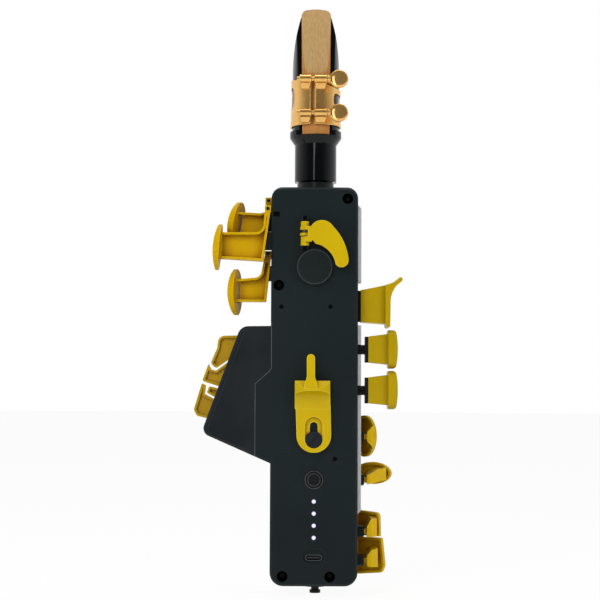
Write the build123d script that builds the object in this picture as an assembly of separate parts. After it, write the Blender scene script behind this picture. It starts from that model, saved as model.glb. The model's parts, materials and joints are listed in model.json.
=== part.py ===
from build123d import *
import math
import os

# Digital wind controller, in millimetres.
# Origin: centre of the thumb rest's face. -Y is the back of the instrument, where the thumbs
# are, +Z points to the mouthpiece, and +X is the side of the side keys.

# Housing
HALF_WIDTH = 24.0
TOP_Z = 44.5
BOTTOM_Z = -174.5
BACK_Y = 3.0
SEAM_Y = 12.0
FRONT_Y = 41.0
TOP_CORNER = 6.2
BOTTOM_CORNER = 7.4
BACK_EDGE = 1.3
FRONT_EDGE = 3.0
WALL = 2.2
SEAM_GAP = 0.12
RUN = 0.05

# Wing on the left, and its cover panel
WING_FRONT_Y = 15.0
WING_OUTLINE = [(-20, -32.4), (-40.6, -32.7), (-61.9, -91.3), (-24, -107.9), (-20, -109.6)]
WING_CORNERS = [(1, 6.0), (2, 4.6)]
PANEL_DEPTH = 2.0
PANEL_OUTLINE = [(-23.6, -30), (-66, -30), (-66, -110), (-32.5, -110), (-32.5, -64.4),
                 (-24.6, -57.4), (-23.6, -55.9)]

# Raised guide rail on the right side
RAIL_X = 26.2
RAIL_Y = (13.5, 26.0)
RAIL_Z = (-137.0, 36.8)

# Neck, mouthpiece, reed and ligature
NECK_X = 0.5
NECK_Y = 22.0
COLLAR_R = 10.3
COLLAR_TOP = 48.9
TENON_R = 6.5
TENON_TOP = 71.4
AIR_R = 4.8
DUCT_X = -9.5
CORK_R = 7.95
PIECE_END = 49.4
PIECE_BORE_R = 8.0
SHANK_R = 11.8
RING_R = 14.6
BODY_R = 13.2
PIECE_TIP = 146.9
REED_LENGTH = 72.0
REED_WIDTH = 16.6
REED_HEEL = 15.2
REED_THICK = 3.1
REED_SIDE = 1.0
TABLE_DEPTH = 9.6
TABLE_START = 75.2
TABLE_TILT = 2.0
BAND_Z = (80.6, 105.8)
BAND_R = 14.6
BAND_GAP_X = (-2.2, -0.5)
SCREW_Z = (86.4, 105.4)
SCREW_Y = 5.0
SCREW_R = 1.3
BARREL_X = (-8.6, 5.0)
BARREL_R = 2.4
WINDOW_Z = (92.0, 100.4)
SCREW_HEAD_X = 13.2
SCREW_HEAD_R = 5.2

# Thumb rest and octave key
REST_R = 10.0
REST_SPIGOT = 2.0
PIN_X = -5.4
PIN_Y = 0.2
PIN_R = 1.0
OCTAVE_NEAR = -4.2
OCTAVE_FAR = -1.8

# Thumb hook
HOOK_X = -1.0
HOOK_HALF = 9.6
HOOK_TOP = -62.6
HOOK_CURVE_Z = -78.0
TONGUE_X = -1.9
TONGUE_HALF = 2.2
HOOK_BOTTOM = -101.8
HOOK_SCREW_X = -0.15
HOOK_PLATE = 2.95
HOOK_SCREW_Z = -94.65
HOOK_SCREW_R = 4.6

# Lamps, button and socket down the middle of the back
BUTTON_Z = -116.7
BUTTON_R = 3.05
BUTTON_FLANGE = 8.0
LAMP_Z = -128.5
LAMP_STEP = -6.55
LAMP_R = 1.2
PORT_Z = -159.0
PORT_OUTER = (8.94, 3.16)
PORT_MOUTH = (8.34, 2.56)
PORT_FACE_Y = 4.2
PLUG_X = 1.0
PLUG_R = 6.6
PLUG_SPIGOT = 2.1

# Boards inside
BOARD_Y = (10.9, 12.5)
BOARD_HALF = 15.6
BOARD_Z = (-164.8, 32.0)
KEY_BOARD_Y = (29.0, 30.6)

# Deep screw holes of the back, given as (x, z)
CASE_HOLES = [(18.2, 38.1), (-19.7, -10.0), (-17.1, -169.1), (8.8, -169.3)]
BOSS_HALF = 4.0
CASE_HOLE_R = 2.95
CASE_HOLE_Y = 9.0

# Front stack keys: name, height, touch radius
STACK_KEYS = [("front_f_key", 26.0, 6.0), ("b_key", 7.0, 7.5), ("bis_key", -5.0, 3.8),
              ("a_key", -17.0, 7.5), ("g_key", -38.0, 7.5), ("f_key", -76.0, 7.5),
              ("e_key", -97.0, 7.5), ("d_key", -118.0, 7.5)]
STACK_STROKE = 2.4
STEM = 2.2

# Right side keys: post height and depth
SIDE_POST = 5.2
UPPER_POST = 17.4
SIDE_KEY_Y = 16.0
SIDE_POST_Z = (-20.9, -45.1, -67.8)
FLANGE_HALF = 7.2
EDGE_POST_Y = 20.0
EDGE_POST_HALF = 3.0
EDGE_POST_Z = (-93.6, -117.6, -146.0, -162.1)

# Table keys on the wing
ROD_X = -29.0
ROD_Y = 19.6
ROD_R = 1.0
KNUCKLE = 2.2
TABLE_NEAR = 17.4
TABLE_FAR = 20.4
TABLE_KEYS = {
    "g_sharp_key": ([(-29, -37.0), (-53.6, -37.6), (-54.2, -44.4), (-57.9, -53.0), (-54.9, -55.9),
                     (-46.5, -50.0), (-29, -50.0)], [(1, 4.0), (3, 1.8), (4, 1.6), (5, 1.5)]),
    "c_sharp_key": ([(-29, -51.0), (-46.4, -51.0), (-54.8, -57.1), (-57.4, -56.4), (-59.0, -53.2),
                     (-62.5, -62.9), (-50.6, -66.7), (-45.4, -60.8), (-29, -60.8)], [(5, 1.2)]),
    "low_b_key": ([(-29, -61.8), (-45.0, -61.8), (-50.2, -67.8), (-58.5, -65.7), (-59.9, -69.4),
                   (-50.4, -74.6), (-29, -74.6)], [(3, 1.0), (4, 1.0)]),
    "low_b_flat_key": ([(-29, -75.6), (-50.7, -75.6), (-60.9, -70.1), (-60.3, -65.4), (-62.6, -63.9),
                        (-67.1, -78.8), (-65.3, -82.3), (-48.0, -86.4), (-29, -88.0)],
                       [(4, 0.8), (5, 2.2), (6, 1.8)]),
}

# Palm keys
PALM_PIN_X = -26.0
PALM_PIN_R = 0.9
PALM_EYE = 1.7
# Pins of the middle, upper and lower key: height, near end, the lug's two depths and its low end
PALM_PINS = [(32.6, 3.8, 12.0, 16.0, 20.6), (38.6, 16.4, 23.3, 28.0, 36.6), (8.0, 12.4, 18.3, 23.0, 6.0)]
# Feet in the same order: x, y and z ranges
PALM_FEET = [((-27.6, -19.0), (5.8, 9.2), (9.8, 19.6)),
             ((-27.0, -19.0), (18.0, 21.6), (20.5, 29.4)),
             ((-26.6, -19.0), (13.8, 17.0), (-7.0, 1.4))]
# Stems seen from the back: points, then the corners to round
MIDDLE_STEM = ([(-52.6, 19.3), (-28.7, 19.4), (-27.6, 32.6), (-24.4, 32.6),
                (-25.5, 24.5), (-28.5, 3.5), (-52.9, 4.9)], [(1, 4.4)])
UPPER_OPENING = [(-45.0, 30.8), (-40.2, 30.6), (-42.6, 16.8), (-45.0, 16.8)]
LOWER_OPENING = [(-45.0, -7.65), (-41.6, -7.5), (-41.5, -17.45), (-45.0, -17.45)]
UPPER_STEM = ([(-44.0, 32.2), (-30.5, 31.4), (-27.6, 32.2), (-27.6, 38.6), (-24.4, 38.6),
               (-24.8, 30.0), (-27.2, 15.5), (-44.4, 15.5)], [])
LOWER_STEM = ([(-44.6, -6.2), (-30.2, -4.9), (-27.6, 8.0), (-24.4, 8.0),
               (-24.9, 0.0), (-26.9, -18.7), (-44.8, -18.7)], [(1, 4.0)])


def outline(points, corners=()):
    """Closed face through the points; corners lists (index, radius) pairs to round."""
    face = make_face(Polyline(*points, close=True))
    for index, radius in corners:
        x, y = points[index]
        near = face.vertices().sort_by_distance((x, y, 0))[0]
        face = fillet(near, radius)
    return face


def deep(face, y_near, y_far):
    """Solid of a face drawn as seen from the back, between two depths."""
    return extrude(Plane.XZ.offset(-y_far) * face, amount=y_far - y_near)


def wide(face, x_low, x_high):
    """Solid of a face drawn in depth and height, between two side distances."""
    return extrude(Plane.YZ.offset(x_low) * face, amount=x_high - x_low)


def tall(face, z_low, z_high):
    """Solid of a face drawn in plan, between two heights."""
    return extrude(Plane.XY.offset(z_low) * face, amount=z_high - z_low)


def rod_x(y, z, radius, x_low, x_high):
    return wide(Pos(y, z) * Circle(radius), x_low, x_high)


def rod_y(x, z, radius, y_near, y_far):
    return deep(Pos(x, z) * Circle(radius), y_near, y_far)


def rod_z(x, y, radius, z_low, z_high):
    return tall(Pos(x, y) * Circle(radius), z_low, z_high)


def block(x_range, y_range, z_range):
    size = [high - low for low, high in (x_range, y_range, z_range)]
    middle = [(high + low) / 2 for low, high in (x_range, y_range, z_range)]
    return Pos(*middle) * Box(*size)


def slot_face(x, z, half_width, z_low, z_high):
    """Upright slot with round ends."""
    middle = (z_low + z_high) / 2
    return Pos(x, middle) * Rot(0, 0, 90) * SlotOverall(z_high - z_low, 2 * half_width)


def save(name, shape):
    export_step(shape, f"parts/{name}.step")


def housing_face(inset=0.0):
    half = HALF_WIDTH - inset
    high = TOP_Z - inset
    low = BOTTOM_Z + inset
    corners = [(index, radius - inset) for index, radius in enumerate(
        (TOP_CORNER, TOP_CORNER, BOTTOM_CORNER, BOTTOM_CORNER))]
    return outline([(-half, high), (half, high), (half, low), (-half, low)], corners)


def wing_face(inset=0.0):
    face = outline(WING_OUTLINE, WING_CORNERS)
    return offset(face, -inset, kind=Kind.INTERSECTION) if inset else face


def panel_face(gap=0.0):
    face = outline(PANEL_OUTLINE)
    return offset(face, -gap, kind=Kind.INTERSECTION) if gap else face


def back_form():
    """Outer form of the back shell, with its edge cut back, before it is hollowed."""
    form = deep(housing_face(), BACK_Y, SEAM_Y) + deep(wing_face(), BACK_Y, WING_FRONT_Y)
    form -= block((-HALF_WIDTH, 0), (SEAM_Y, WING_FRONT_Y + 1), (BOTTOM_Z, TOP_Z))
    rim = form.edges().filter_by_position(Axis.Y, BACK_Y - 0.01, BACK_Y + 0.01)
    return chamfer(rim, BACK_EDGE)


def make_back_shell(form):
    floor_y = BACK_Y + WALL
    shell = form - deep(housing_face(WALL), floor_y, SEAM_Y)
    wing_room = wing_face(WALL) - Pos(0, -70) * Rectangle(2 * HALF_WIDTH, 120)
    shell -= deep(wing_room, floor_y, WING_FRONT_Y - WALL)
    shell -= deep(panel_face(), BACK_Y - 1, BACK_Y + PANEL_DEPTH + RUN)
    for x, z in CASE_HOLES:
        shell += screw_boss(x, z, floor_y, SEAM_Y)
        shell -= rod_y(x, z, CASE_HOLE_R, BACK_Y - 1, CASE_HOLE_Y)
    for x in (-12, 12):
        for z in (27, -60, -146):
            shell += block((x - 1.6, x + 1.6), (floor_y, BOARD_Y[0]), (z - 1.6, z + 1.6))
    shell -= block((-23.0, -19.4), (BACK_Y - 1, BACK_Y + 1.2), (28.0, 30.8))
    shell -= block((-REST_SPIGOT, REST_SPIGOT), (BACK_Y - 1, floor_y + 1), (-REST_SPIGOT, REST_SPIGOT))
    hook_boss = Pos(HOOK_SCREW_X, HOOK_SCREW_Z) * Rectangle(8, 8)
    shell += deep(hook_boss, floor_y, 10.4)
    shell -= rod_y(HOOK_SCREW_X, HOOK_SCREW_Z, 2.1, BACK_Y - 1, 10.4)
    shell -= rod_y(0, BUTTON_Z, BUTTON_R + 0.15, BACK_Y - 1, floor_y + 1)
    for index in range(4):
        shell -= deep(lamp_face(index, LAMP_R + RUN), BACK_Y - 1, floor_y + 1)
    recess = Pos(0, PORT_Z + 0.8) * RectangleRounded(12.4, 8.0, 3.6)
    shell -= deep(recess, BACK_Y - 1, PORT_FACE_Y)
    port = Pos(0, PORT_Z) * SlotOverall(PORT_OUTER[0] + 2 * RUN, PORT_OUTER[1] + 2 * RUN)
    shell -= deep(port, BACK_Y, floor_y + 1)
    shell += pin_bosses()
    shell += rod_posts()
    shell -= block((-25, -20), (4.6, 10.4), (8.4, 21.2))
    return shell


def screw_boss(x, z, y_near, y_far):
    """Square boss round a case screw, trimmed to the inside of the housing."""
    boss = block((x - BOSS_HALF, x + BOSS_HALF), (y_near, y_far), (z - BOSS_HALF, z + BOSS_HALF))
    return boss & deep(housing_face(0.5), y_near, y_far)


def lamp_face(index, radius):
    """Window of one lamp, with few sides because it is tiny and repeats."""
    return Pos(0, LAMP_Z + index * LAMP_STEP) * RegularPolygon(radius, 12)


def pin_bosses():
    """Two bosses that carry the octave key's pin in slots open to the left."""
    bosses = []
    for low, high in ((25.2, 27.8), (9.7, 11.2)):
        boss = block((PIN_X - 2.0, PIN_X + 2.0), (PIN_Y - 2.0, BACK_Y + 0.5), (low, high))
        boss = chamfer(boss.edges().filter_by(Axis.Z).sort_by(Axis.Y)[:2], 0.8)
        slot = block((PIN_X - 3, PIN_X + PIN_R), (PIN_Y - PIN_R, PIN_Y + PIN_R), (10.2, 26.8))
        bosses.append(boss - slot)
    return bosses


def rod_posts():
    """Two posts on the wing's front face that carry the table keys' rod in open slots."""
    posts = []
    for low, high in ((-35.9, -34.3), (-90.6, -89.0)):
        post = block((ROD_X - 2.2, ROD_X + 2.2), (WING_FRONT_Y - 0.5, 21.8), (low, high))
        slot = block((ROD_X - ROD_R, ROD_X + ROD_R), (ROD_Y - ROD_R, 23), (low - 1, high + 1))
        posts.append(post - slot)
    return posts


def make_wing_cover(form):
    slab = deep(panel_face(SEAM_GAP), BACK_Y, BACK_Y + PANEL_DEPTH)
    return (form & slab) & deep(wing_face(), BACK_Y, BACK_Y + PANEL_DEPTH)


def make_front_shell():
    form = deep(housing_face(), SEAM_Y, FRONT_Y)
    rim = form.edges().filter_by_position(Axis.Y, FRONT_Y - 0.01, FRONT_Y + 0.01)
    shell = chamfer(rim, FRONT_EDGE)
    shell -= deep(housing_face(WALL), SEAM_Y, FRONT_Y - WALL)
    rail_end = 3.0
    rail = make_face(Polyline((HALF_WIDTH - 0.4, RAIL_Z[0]), (RAIL_X, RAIL_Z[0] + rail_end),
                              (RAIL_X, RAIL_Z[1] - rail_end), (HALF_WIDTH - 0.4, RAIL_Z[1]), close=True))
    shell += deep(rail, RAIL_Y[0], RAIL_Y[1])
    shell -= block((HALF_WIDTH, RAIL_X + 1), (RAIL_Y[0] - 1, RAIL_Y[1] + 1), (-31.6, -7.4))
    for x, z in CASE_HOLES:
        shell += screw_boss(x, z, SEAM_Y, 21.0)
    shell -= rod_z(NECK_X, NECK_Y, AIR_R, TOP_Z - WALL - 1, TOP_Z + 1)
    shell -= spigot_block(RUN, BOTTOM_Z + WALL + 1)
    room = STEM + 0.1
    for name, z, radius in STACK_KEYS:
        shell -= block((-room, room), (FRONT_Y - WALL - 1, FRONT_Y + 1), (z - room, z + room))
    for z, height in zip(SIDE_POST_Z, (UPPER_POST, SIDE_POST, SIDE_POST)):
        half = height / 2 + 0.2
        shell -= block((20, 30), (SIDE_KEY_Y - 2.8, SIDE_KEY_Y + 2.8), (z - half, z + half))
    for z in EDGE_POST_Z:
        shell -= wide(post_face(EDGE_POST_Y, z, 0.1), 20, 30)
    for x in (-11.5, 11.5):
        for z in (16, -56, -124):
            shell += block((x - 1.6, x + 1.6), (KEY_BOARD_Y[1], FRONT_Y - WALL), (z - 1.6, z + 1.6))
    for pin in PALM_PINS:
        shell += palm_lug(*pin)
    for foot in PALM_FEET[1:]:
        x_range, y_range, z_range = foot
        hole_y, hole_z = [(low - 1.2, high + 1.2) for low, high in (y_range, z_range)]
        shell -= block((-25, -17.6), hole_y, hole_z)
    return shell


def palm_lug(z, near_end, lug_near, lug_far, low):
    """Lug on the left wall, moulded with the pin that a palm key turns on."""
    lug = block((PALM_PIN_X - 1.6, -HALF_WIDTH + 0.5), (lug_near, lug_far), (low, z + 2.0))
    return lug + rod_y(PALM_PIN_X, z, PALM_PIN_R, near_end, lug_near)


def make_neck_tenon():
    tenon = rod_z(NECK_X, NECK_Y, COLLAR_R, TOP_Z, COLLAR_TOP)
    tenon += rod_z(NECK_X, NECK_Y, TENON_R, COLLAR_TOP, TENON_TOP)
    return tenon - rod_z(NECK_X, NECK_Y, AIR_R, TOP_Z - 1, TENON_TOP + 1)


def make_tenon_cork():
    cork = rod_z(NECK_X, NECK_Y, CORK_R, COLLAR_TOP + 1.6, TENON_TOP - 1.0)
    return cork - rod_z(NECK_X, NECK_Y, TENON_R, 40.0, 80.0)


def spigot_block(gap, top):
    """Square spigot of the drain plug, or the room for it."""
    half = PLUG_SPIGOT + gap
    return block((PLUG_X - half, PLUG_X + half), (NECK_Y - half, NECK_Y + half), (BOTTOM_Z - RUN, top))


def make_air_tube():
    """Moulded air way: cup under the tenon, square duct down the side, socket for the drain plug."""
    cup = block((NECK_X - 8.5, NECK_X + 8.5), (NECK_Y - 8.5, NECK_Y + 8.5), (33.0, TOP_Z - WALL))
    depth = (NECK_Y - 3, NECK_Y + 3)
    duct = block((DUCT_X - 3, DUCT_X + 3), depth, (-171.6, 34))
    foot = block((DUCT_X - 3, PLUG_X + 3.6), depth, (BOTTOM_Z + WALL, -165.6))
    tube = cup + duct + foot - rod_z(NECK_X, NECK_Y, AIR_R, 36.0, TOP_Z)
    return tube - spigot_block(RUN, -167.6)


def table_y(z):
    """Depth of the flat table that the reed lies on."""
    return NECK_Y - TABLE_DEPTH + (z - TABLE_START) * math.tan(math.radians(TABLE_TILT))


def make_mouthpiece():
    profile = outline([(0, PIECE_END), (SHANK_R, PIECE_END), (SHANK_R, 70.5), (RING_R, 74.5),
                       (RING_R, 78.0), (BODY_R, 78.0), (BODY_R, 150.0), (0, 150.0)])
    body = Pos(NECK_X, NECK_Y, 0) * revolve(Plane.XZ * profile, Axis.Z)
    sides = make_face(Line((-16, 40), (16, 40)) + Line((16, 40), (16, 104))
                      + Line((16, 104), (BODY_R, 108))
                      + ThreePointArc((BODY_R, 108), (12.1, 126), (8.6, 142.6))
                      + ThreePointArc((8.6, 142.6), (0, PIECE_TIP), (-8.6, 142.6))
                      + ThreePointArc((-8.6, 142.6), (-12.1, 126), (-BODY_R, 108))
                      + Line((-BODY_R, 108), (-16, 104)) + Line((-16, 104), (-16, 40)))
    body &= deep(Pos(NECK_X, 0) * sides, -10, 50)
    tip_y = table_y(PIECE_TIP)
    shelf_z = TABLE_START - 0.1
    table = (table_y(TABLE_START), shelf_z)
    bend = (table_y(122), 122)
    past_tip = PIECE_TIP + 0.5
    lay = make_face(Line((-5, shelf_z), table) + Line(table, bend)
                    + ThreePointArc(bend, (table_y(136) + 0.65, 136), (tip_y + 2.0, past_tip))
                    + Line((tip_y + 2.0, past_tip), (-5, past_tip)) + Line((-5, past_tip), (-5, shelf_z)))
    body -= wide(lay, -20, 20)
    beak = outline([(NECK_Y + 13.6, 101.0), (tip_y + 3.0, past_tip), (45, past_tip), (45, 101.0)])
    body -= wide(beak, -20, 20)
    body -= rod_z(NECK_X, NECK_Y, PIECE_BORE_R, PIECE_END - 1, 96.0)
    window = outline([(5, 94), (5, 145.0), (tip_y + 2.2, 145.0), (NECK_Y + 2, 118), (NECK_Y + 2, 94)])
    return body - wide(window, NECK_X - 5.6, NECK_X + 5.6)


def make_reed():
    half = REED_WIDTH / 2
    side = REED_SIDE
    crown = make_face(Line((-half, 0), (half, 0)) + Line((half, 0), (half, -side))
                      + ThreePointArc((half, -side), (0, -REED_THICK), (-half, -side))
                      + Line((-half, -side), (-half, 0)))
    reed = extrude(crown, amount=REED_LENGTH)
    vamp = outline([(-REED_THICK - 0.2, 36.5), (-0.25, REED_LENGTH + 0.5),
                    (-6, REED_LENGTH + 0.5), (-6, 36.5)])
    reed -= wide(vamp, -10, 10)
    heel = REED_HEEL / 2
    corner_z = REED_LENGTH - 3.6
    crown_x = half - 3.9
    crown_z = REED_LENGTH - 0.4
    plan = make_face(Line((-heel, 0), (heel, 0)) + Line((heel, 0), (half, corner_z))
                     + ThreePointArc((half, corner_z), (half - 1.3, REED_LENGTH - 1.3), (crown_x, crown_z))
                     + ThreePointArc((crown_x, crown_z), (0, REED_LENGTH), (-crown_x, crown_z))
                     + ThreePointArc((-crown_x, crown_z), (1.3 - half, REED_LENGTH - 1.3), (-half, corner_z))
                     + Line((-half, corner_z), (-heel, 0)))
    reed &= deep(plan, -6, 2)
    lean = Rot(-TABLE_TILT, 0, 0)
    return Pos(NECK_X, table_y(TABLE_START) - RUN, TABLE_START) * lean * reed


def make_ligature():
    low, high = BAND_Z
    inner = BODY_R + 0.12
    band = rod_z(NECK_X, NECK_Y, BAND_R, low, high) - rod_z(NECK_X, NECK_Y, inner, low, high)
    for z in SCREW_Z:
        barrel = rod_x(SCREW_Y, z, BARREL_R, *BARREL_X)
        band += barrel + block(BARREL_X, (SCREW_Y, NECK_Y - inner - 0.2), (z - 2.0, z + 2.0))
    band -= block(BAND_GAP_X, (-1, 12), (low - 1, high + 1))
    for z in SCREW_Z:
        band -= rod_x(SCREW_Y, z, SCREW_R + RUN, BAND_GAP_X[0], BARREL_X[1] + 1)
    band -= block((5, 20), (11.5, 29.0), WINDOW_Z)
    return band - block((-20, -5), (16.5, 34.5), WINDOW_Z)


def make_ligature_screw(z):
    shaft = rod_x(SCREW_Y, z, SCREW_R, BAND_GAP_X[0] + RUN, 9.5)
    head = rod_y(SCREW_HEAD_X, z, SCREW_HEAD_R, SCREW_Y - 1.2, SCREW_Y + 1.2)
    return shaft + head


def make_thumb_rest():
    disc = rod_y(0, 0, REST_R, 0, BACK_Y)
    side = (-REST_SPIGOT, REST_SPIGOT)
    return disc + block(side, (BACK_Y, BACK_Y + WALL + 1.0), side)


def make_octave_key():
    shape = make_face(Line((-8.4, 17.8), (-8.4, 21.2)) + Line((-8.4, 21.2), (-2.2, 21.8))
                      + ThreePointArc((-2.2, 21.8), (3.4, 25.3), (9.9, 22.0))
                      + ThreePointArc((9.9, 22.0), (15.9, 13.3), (18.4, 4.2))
                      + ThreePointArc((18.4, 4.2), (15.4, -0.5), (11.4, 1.2))
                      + ThreePointArc((11.4, 1.2), (7.6, 8.6), (0.6, 12.3))
                      + Line((0.6, 12.3), (-2.7, 15.9)) + Line((-2.7, 15.9), (-8.4, 17.8)))
    key = deep(shape, OCTAVE_NEAR, OCTAVE_FAR)
    key -= block((-9, PIN_X + 1.5), (-9, 4), (11.8, 25.0))
    for low, high in ((20.1, 24.9), (11.6, 16.4)):
        key += rod_z(PIN_X, PIN_Y, 2.35, low, high)
        key += block((PIN_X, -1.6), (OCTAVE_NEAR, PIN_Y), (max(low, 13.6), min(high, 22.0)))
    return key - rod_z(PIN_X, PIN_Y, PIN_R + RUN, 5, 30)


def make_octave_pin():
    return rod_z(PIN_X, PIN_Y, PIN_R, 10.2, 26.8)


def make_octave_spring():
    """Body of the return spring round the pin, with the leg that bears on the back."""
    coil = block((PIN_X - 1.7, PIN_X + 1.7), (PIN_Y - 1.7, PIN_Y + 1.7), (16.9, 19.6))
    coil += block((-7.1, -6.7), (PIN_Y, BACK_Y), (17.0, 17.4))
    return coil - rod_z(PIN_X, PIN_Y, PIN_R + RUN, 16, 21)


def make_thumb_hook():
    left, right = HOOK_X - HOOK_HALF, HOOK_X + HOOK_HALF
    end = HOOK_HALF - 0.15
    low_left, low_right = HOOK_SCREW_X - end, HOOK_SCREW_X + end
    arc_z = HOOK_BOTTOM + end
    plate = make_face(Line((left, HOOK_TOP), (right, HOOK_TOP)) + Line((right, HOOK_TOP), (low_right, arc_z))
                      + ThreePointArc((low_right, arc_z), (HOOK_SCREW_X, HOOK_BOTTOM), (low_left, arc_z))
                      + Line((low_left, arc_z), (left, HOOK_TOP)))
    hook = deep(plate, 0, HOOK_PLATE)
    bulge = make_face(Line((left, 1), (left, -4)) + ThreePointArc((left, -4), (HOOK_X, -8), (right, -4))
                      + Line((right, -4), (right, 1)) + Line((right, 1), (left, 1)))
    bulge = tall(bulge, HOOK_CURVE_Z, HOOK_TOP)
    bulge -= rod_x(-10.4, HOOK_CURVE_Z, 10.3, -20, 20)
    bulge -= wide(outline([(-4, HOOK_TOP), (-9.2, HOOK_TOP - 6.5), (-14, HOOK_TOP - 6.5),
                           (-14, HOOK_TOP + 2), (-4, HOOK_TOP + 2)]), -20, 20)
    half, root, tip = TONGUE_HALF, TONGUE_HALF + 1.2, -48.2
    tongue = outline([(-root, HOOK_TOP - 1.6), (-half, HOOK_TOP + 2.0), (-half, tip),
                      (half, tip), (half, HOOK_TOP + 2.0), (root, HOOK_TOP - 1.6),
                      (root, HOOK_TOP - 4.4), (-root, HOOK_TOP - 4.4)],
                     [(2, half - 0.05), (3, half - 0.05)])
    tongue = deep(Pos(TONGUE_X, 0) * tongue, -7.7, -5.0)
    tongue &= wide(outline([(-7.7, -68), (-7.2, -48), (-5.0, -48), (-5.0, -68)]), -20, 20)
    hook = hook + bulge + tongue
    hook -= deep(slot_face(HOOK_SCREW_X, 0, 4.85, -99.5, -82.3), -1, 1.8)
    return hook - deep(slot_face(HOOK_SCREW_X, 0, 2.15, -96.8, -85.15), -1, 4)


def make_hook_screw():
    screw = rod_y(HOOK_SCREW_X, HOOK_SCREW_Z, HOOK_SCREW_R, 0.35, 1.75)
    screw += rod_y(HOOK_SCREW_X, HOOK_SCREW_Z, 2.05, 1.75, 10.0)
    driver = Pos(HOOK_SCREW_X, HOOK_SCREW_Z) * Rot(0, 0, -42) * Rectangle(12, 0.9)
    return screw - deep(driver, 0, 0.9)


def make_power_button():
    half = BUTTON_FLANGE / 2
    button = rod_y(0, BUTTON_Z, BUTTON_R, BACK_Y - 0.8, 9.7)
    return button + block((-half, half), (BACK_Y + WALL + 0.1, 6.4), (BUTTON_Z - half, BUTTON_Z + half))


def make_light_pipes():
    pipes = [deep(lamp_face(index, LAMP_R), BACK_Y, BOARD_Y[0]) for index in range(4)]
    return Compound(children=pipes)


def make_usb_socket():
    shell = deep(Pos(0, PORT_Z) * SlotOverall(*PORT_OUTER), PORT_FACE_Y, BOARD_Y[0])
    shell -= deep(Pos(0, PORT_Z) * SlotOverall(*PORT_MOUTH), 0, BOARD_Y[0] - 0.8)
    return shell + deep(Pos(0, PORT_Z) * Rectangle(6.7, 0.7), 4.9, BOARD_Y[0] - 0.5)


def make_drain_plug():
    plug = rod_z(PLUG_X, NECK_Y, PLUG_R, BOTTOM_Z - 1.9, BOTTOM_Z - RUN)
    plug += spigot_block(0, -168.0)
    plug += rod_z(PLUG_X, NECK_Y, 2.2, -178.6, BOTTOM_Z - 1.9)
    return plug + rod_z(PLUG_X, NECK_Y, 3.05, -180.2, -178.6)


def make_circuit_board():
    board = block((-BOARD_HALF, BOARD_HALF), BOARD_Y, BOARD_Z)
    board += block((-6, 2), (BOARD_Y[1], BOARD_Y[1] + 3.0), (10, 18))
    return board + block((-8, 8), (BOARD_Y[1], BOARD_Y[1] + 1.4), (-136, -120))


def make_key_board():
    return block((-13, 13), KEY_BOARD_Y, (-128, 31))


def make_battery():
    cell = block((-15, 11.4), (BOARD_Y[1], BOARD_Y[1] + 5.4), (-72, -28))
    return chamfer(cell.edges().filter_by(Axis.Z), 1.2)


def make_key_switches():
    """One push switch under each key: on the key board, and on the main board's edges."""
    size = 3.0
    switches = []
    for name, z, radius in STACK_KEYS:
        switches.append(block((-size, size), (KEY_BOARD_Y[1], 32.0), (z - size, z + size)))
    for z in SIDE_POST_Z:
        switches.append(block((11.8, 15.8), (BOARD_Y[1], SIDE_KEY_Y + 3), (z - size, z + size)))
    for z in EDGE_POST_Z:
        switches.append(block((11.8, 15.8), (BOARD_Y[1], EDGE_POST_Y + 3), (z - size, z + size)))
    switches.append(block((-16, -13.4), (6.0, BOARD_Y[0]), (11, 17)))
    switches.append(block((-16, -13.4), (BOARD_Y[1], 21.0), (20.5, 26.5)))
    switches.append(block((-16, -13.4), (BOARD_Y[1], 17.0), (-5.8, -0.4)))
    switches.append(block((-2, 2), (10.2, BOARD_Y[0]), (BUTTON_Z - 2, BUTTON_Z + 2)))
    return Compound(children=switches)


def make_stack_key(z, radius):
    """Round touch on a square stem that goes through the front shell."""
    touch = rod_y(0, z, radius, FRONT_Y + STACK_STROKE + 1.6, FRONT_Y + 7.2)
    return touch + block((-STEM, STEM), (34.6, FRONT_Y + STACK_STROKE + 1.6), (z - STEM, z + STEM))


def make_side_key(top, bottom):
    """Side key: tapered stem with a broad rounded pad at its outer end."""
    middle = (top + bottom) / 2
    stem = outline([(30.0, top - 3.6), (41.6, top - 2.1), (41.6, bottom + 2.2), (30.0, bottom + 3.3)])
    key = deep(stem, 11.0, 21.0)
    pad = make_face(Line((40.9, top), (44.0, top))
                    + ThreePointArc((44.0, top), (45.0, top - 0.5), (45.6, top - 1.8))
                    + ThreePointArc((45.6, top - 1.8), (46.3, middle), (45.6, bottom + 1.8))
                    + ThreePointArc((45.6, bottom + 1.8), (45.0, bottom + 0.5), (44.0, bottom))
                    + Line((44.0, bottom), (40.9, bottom)) + Line((40.9, bottom), (40.9, top)))
    pad = deep(pad, 8.0, 24.0)
    pad &= wide(Pos(SIDE_KEY_Y, middle) * RectangleRounded(16.0, top - bottom, 5.0), 40, 48)
    return key + pad


def make_upper_side_key():
    """The topmost side key: its pad flares outwards at the top."""
    stem = outline([(25.9, -12.0), (32.0, -10.8), (40.0, -9.1), (40.0, -30.9), (25.9, -29.9)])
    pad = make_face(Line((39.6, -9.2), (42.9, -8.2))
                    + ThreePointArc((42.9, -8.2), (45.0, -6.9), (46.9, -5.3))
                    + ThreePointArc((46.9, -5.3), (48.6, -5.3), (48.4, -7.2))
                    + ThreePointArc((48.4, -7.2), (43.7, -12.6), (42.3, -19.5))
                    + Line((42.3, -19.5), (42.1, -31.8))
                    + ThreePointArc((42.1, -31.8), (40.9, -33.0), (39.6, -32.2))
                    + Line((39.6, -32.2), (39.6, -9.2)))
    return deep(stem, 11.0, 21.0) + deep(pad, 8.0, 24.0)


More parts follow.
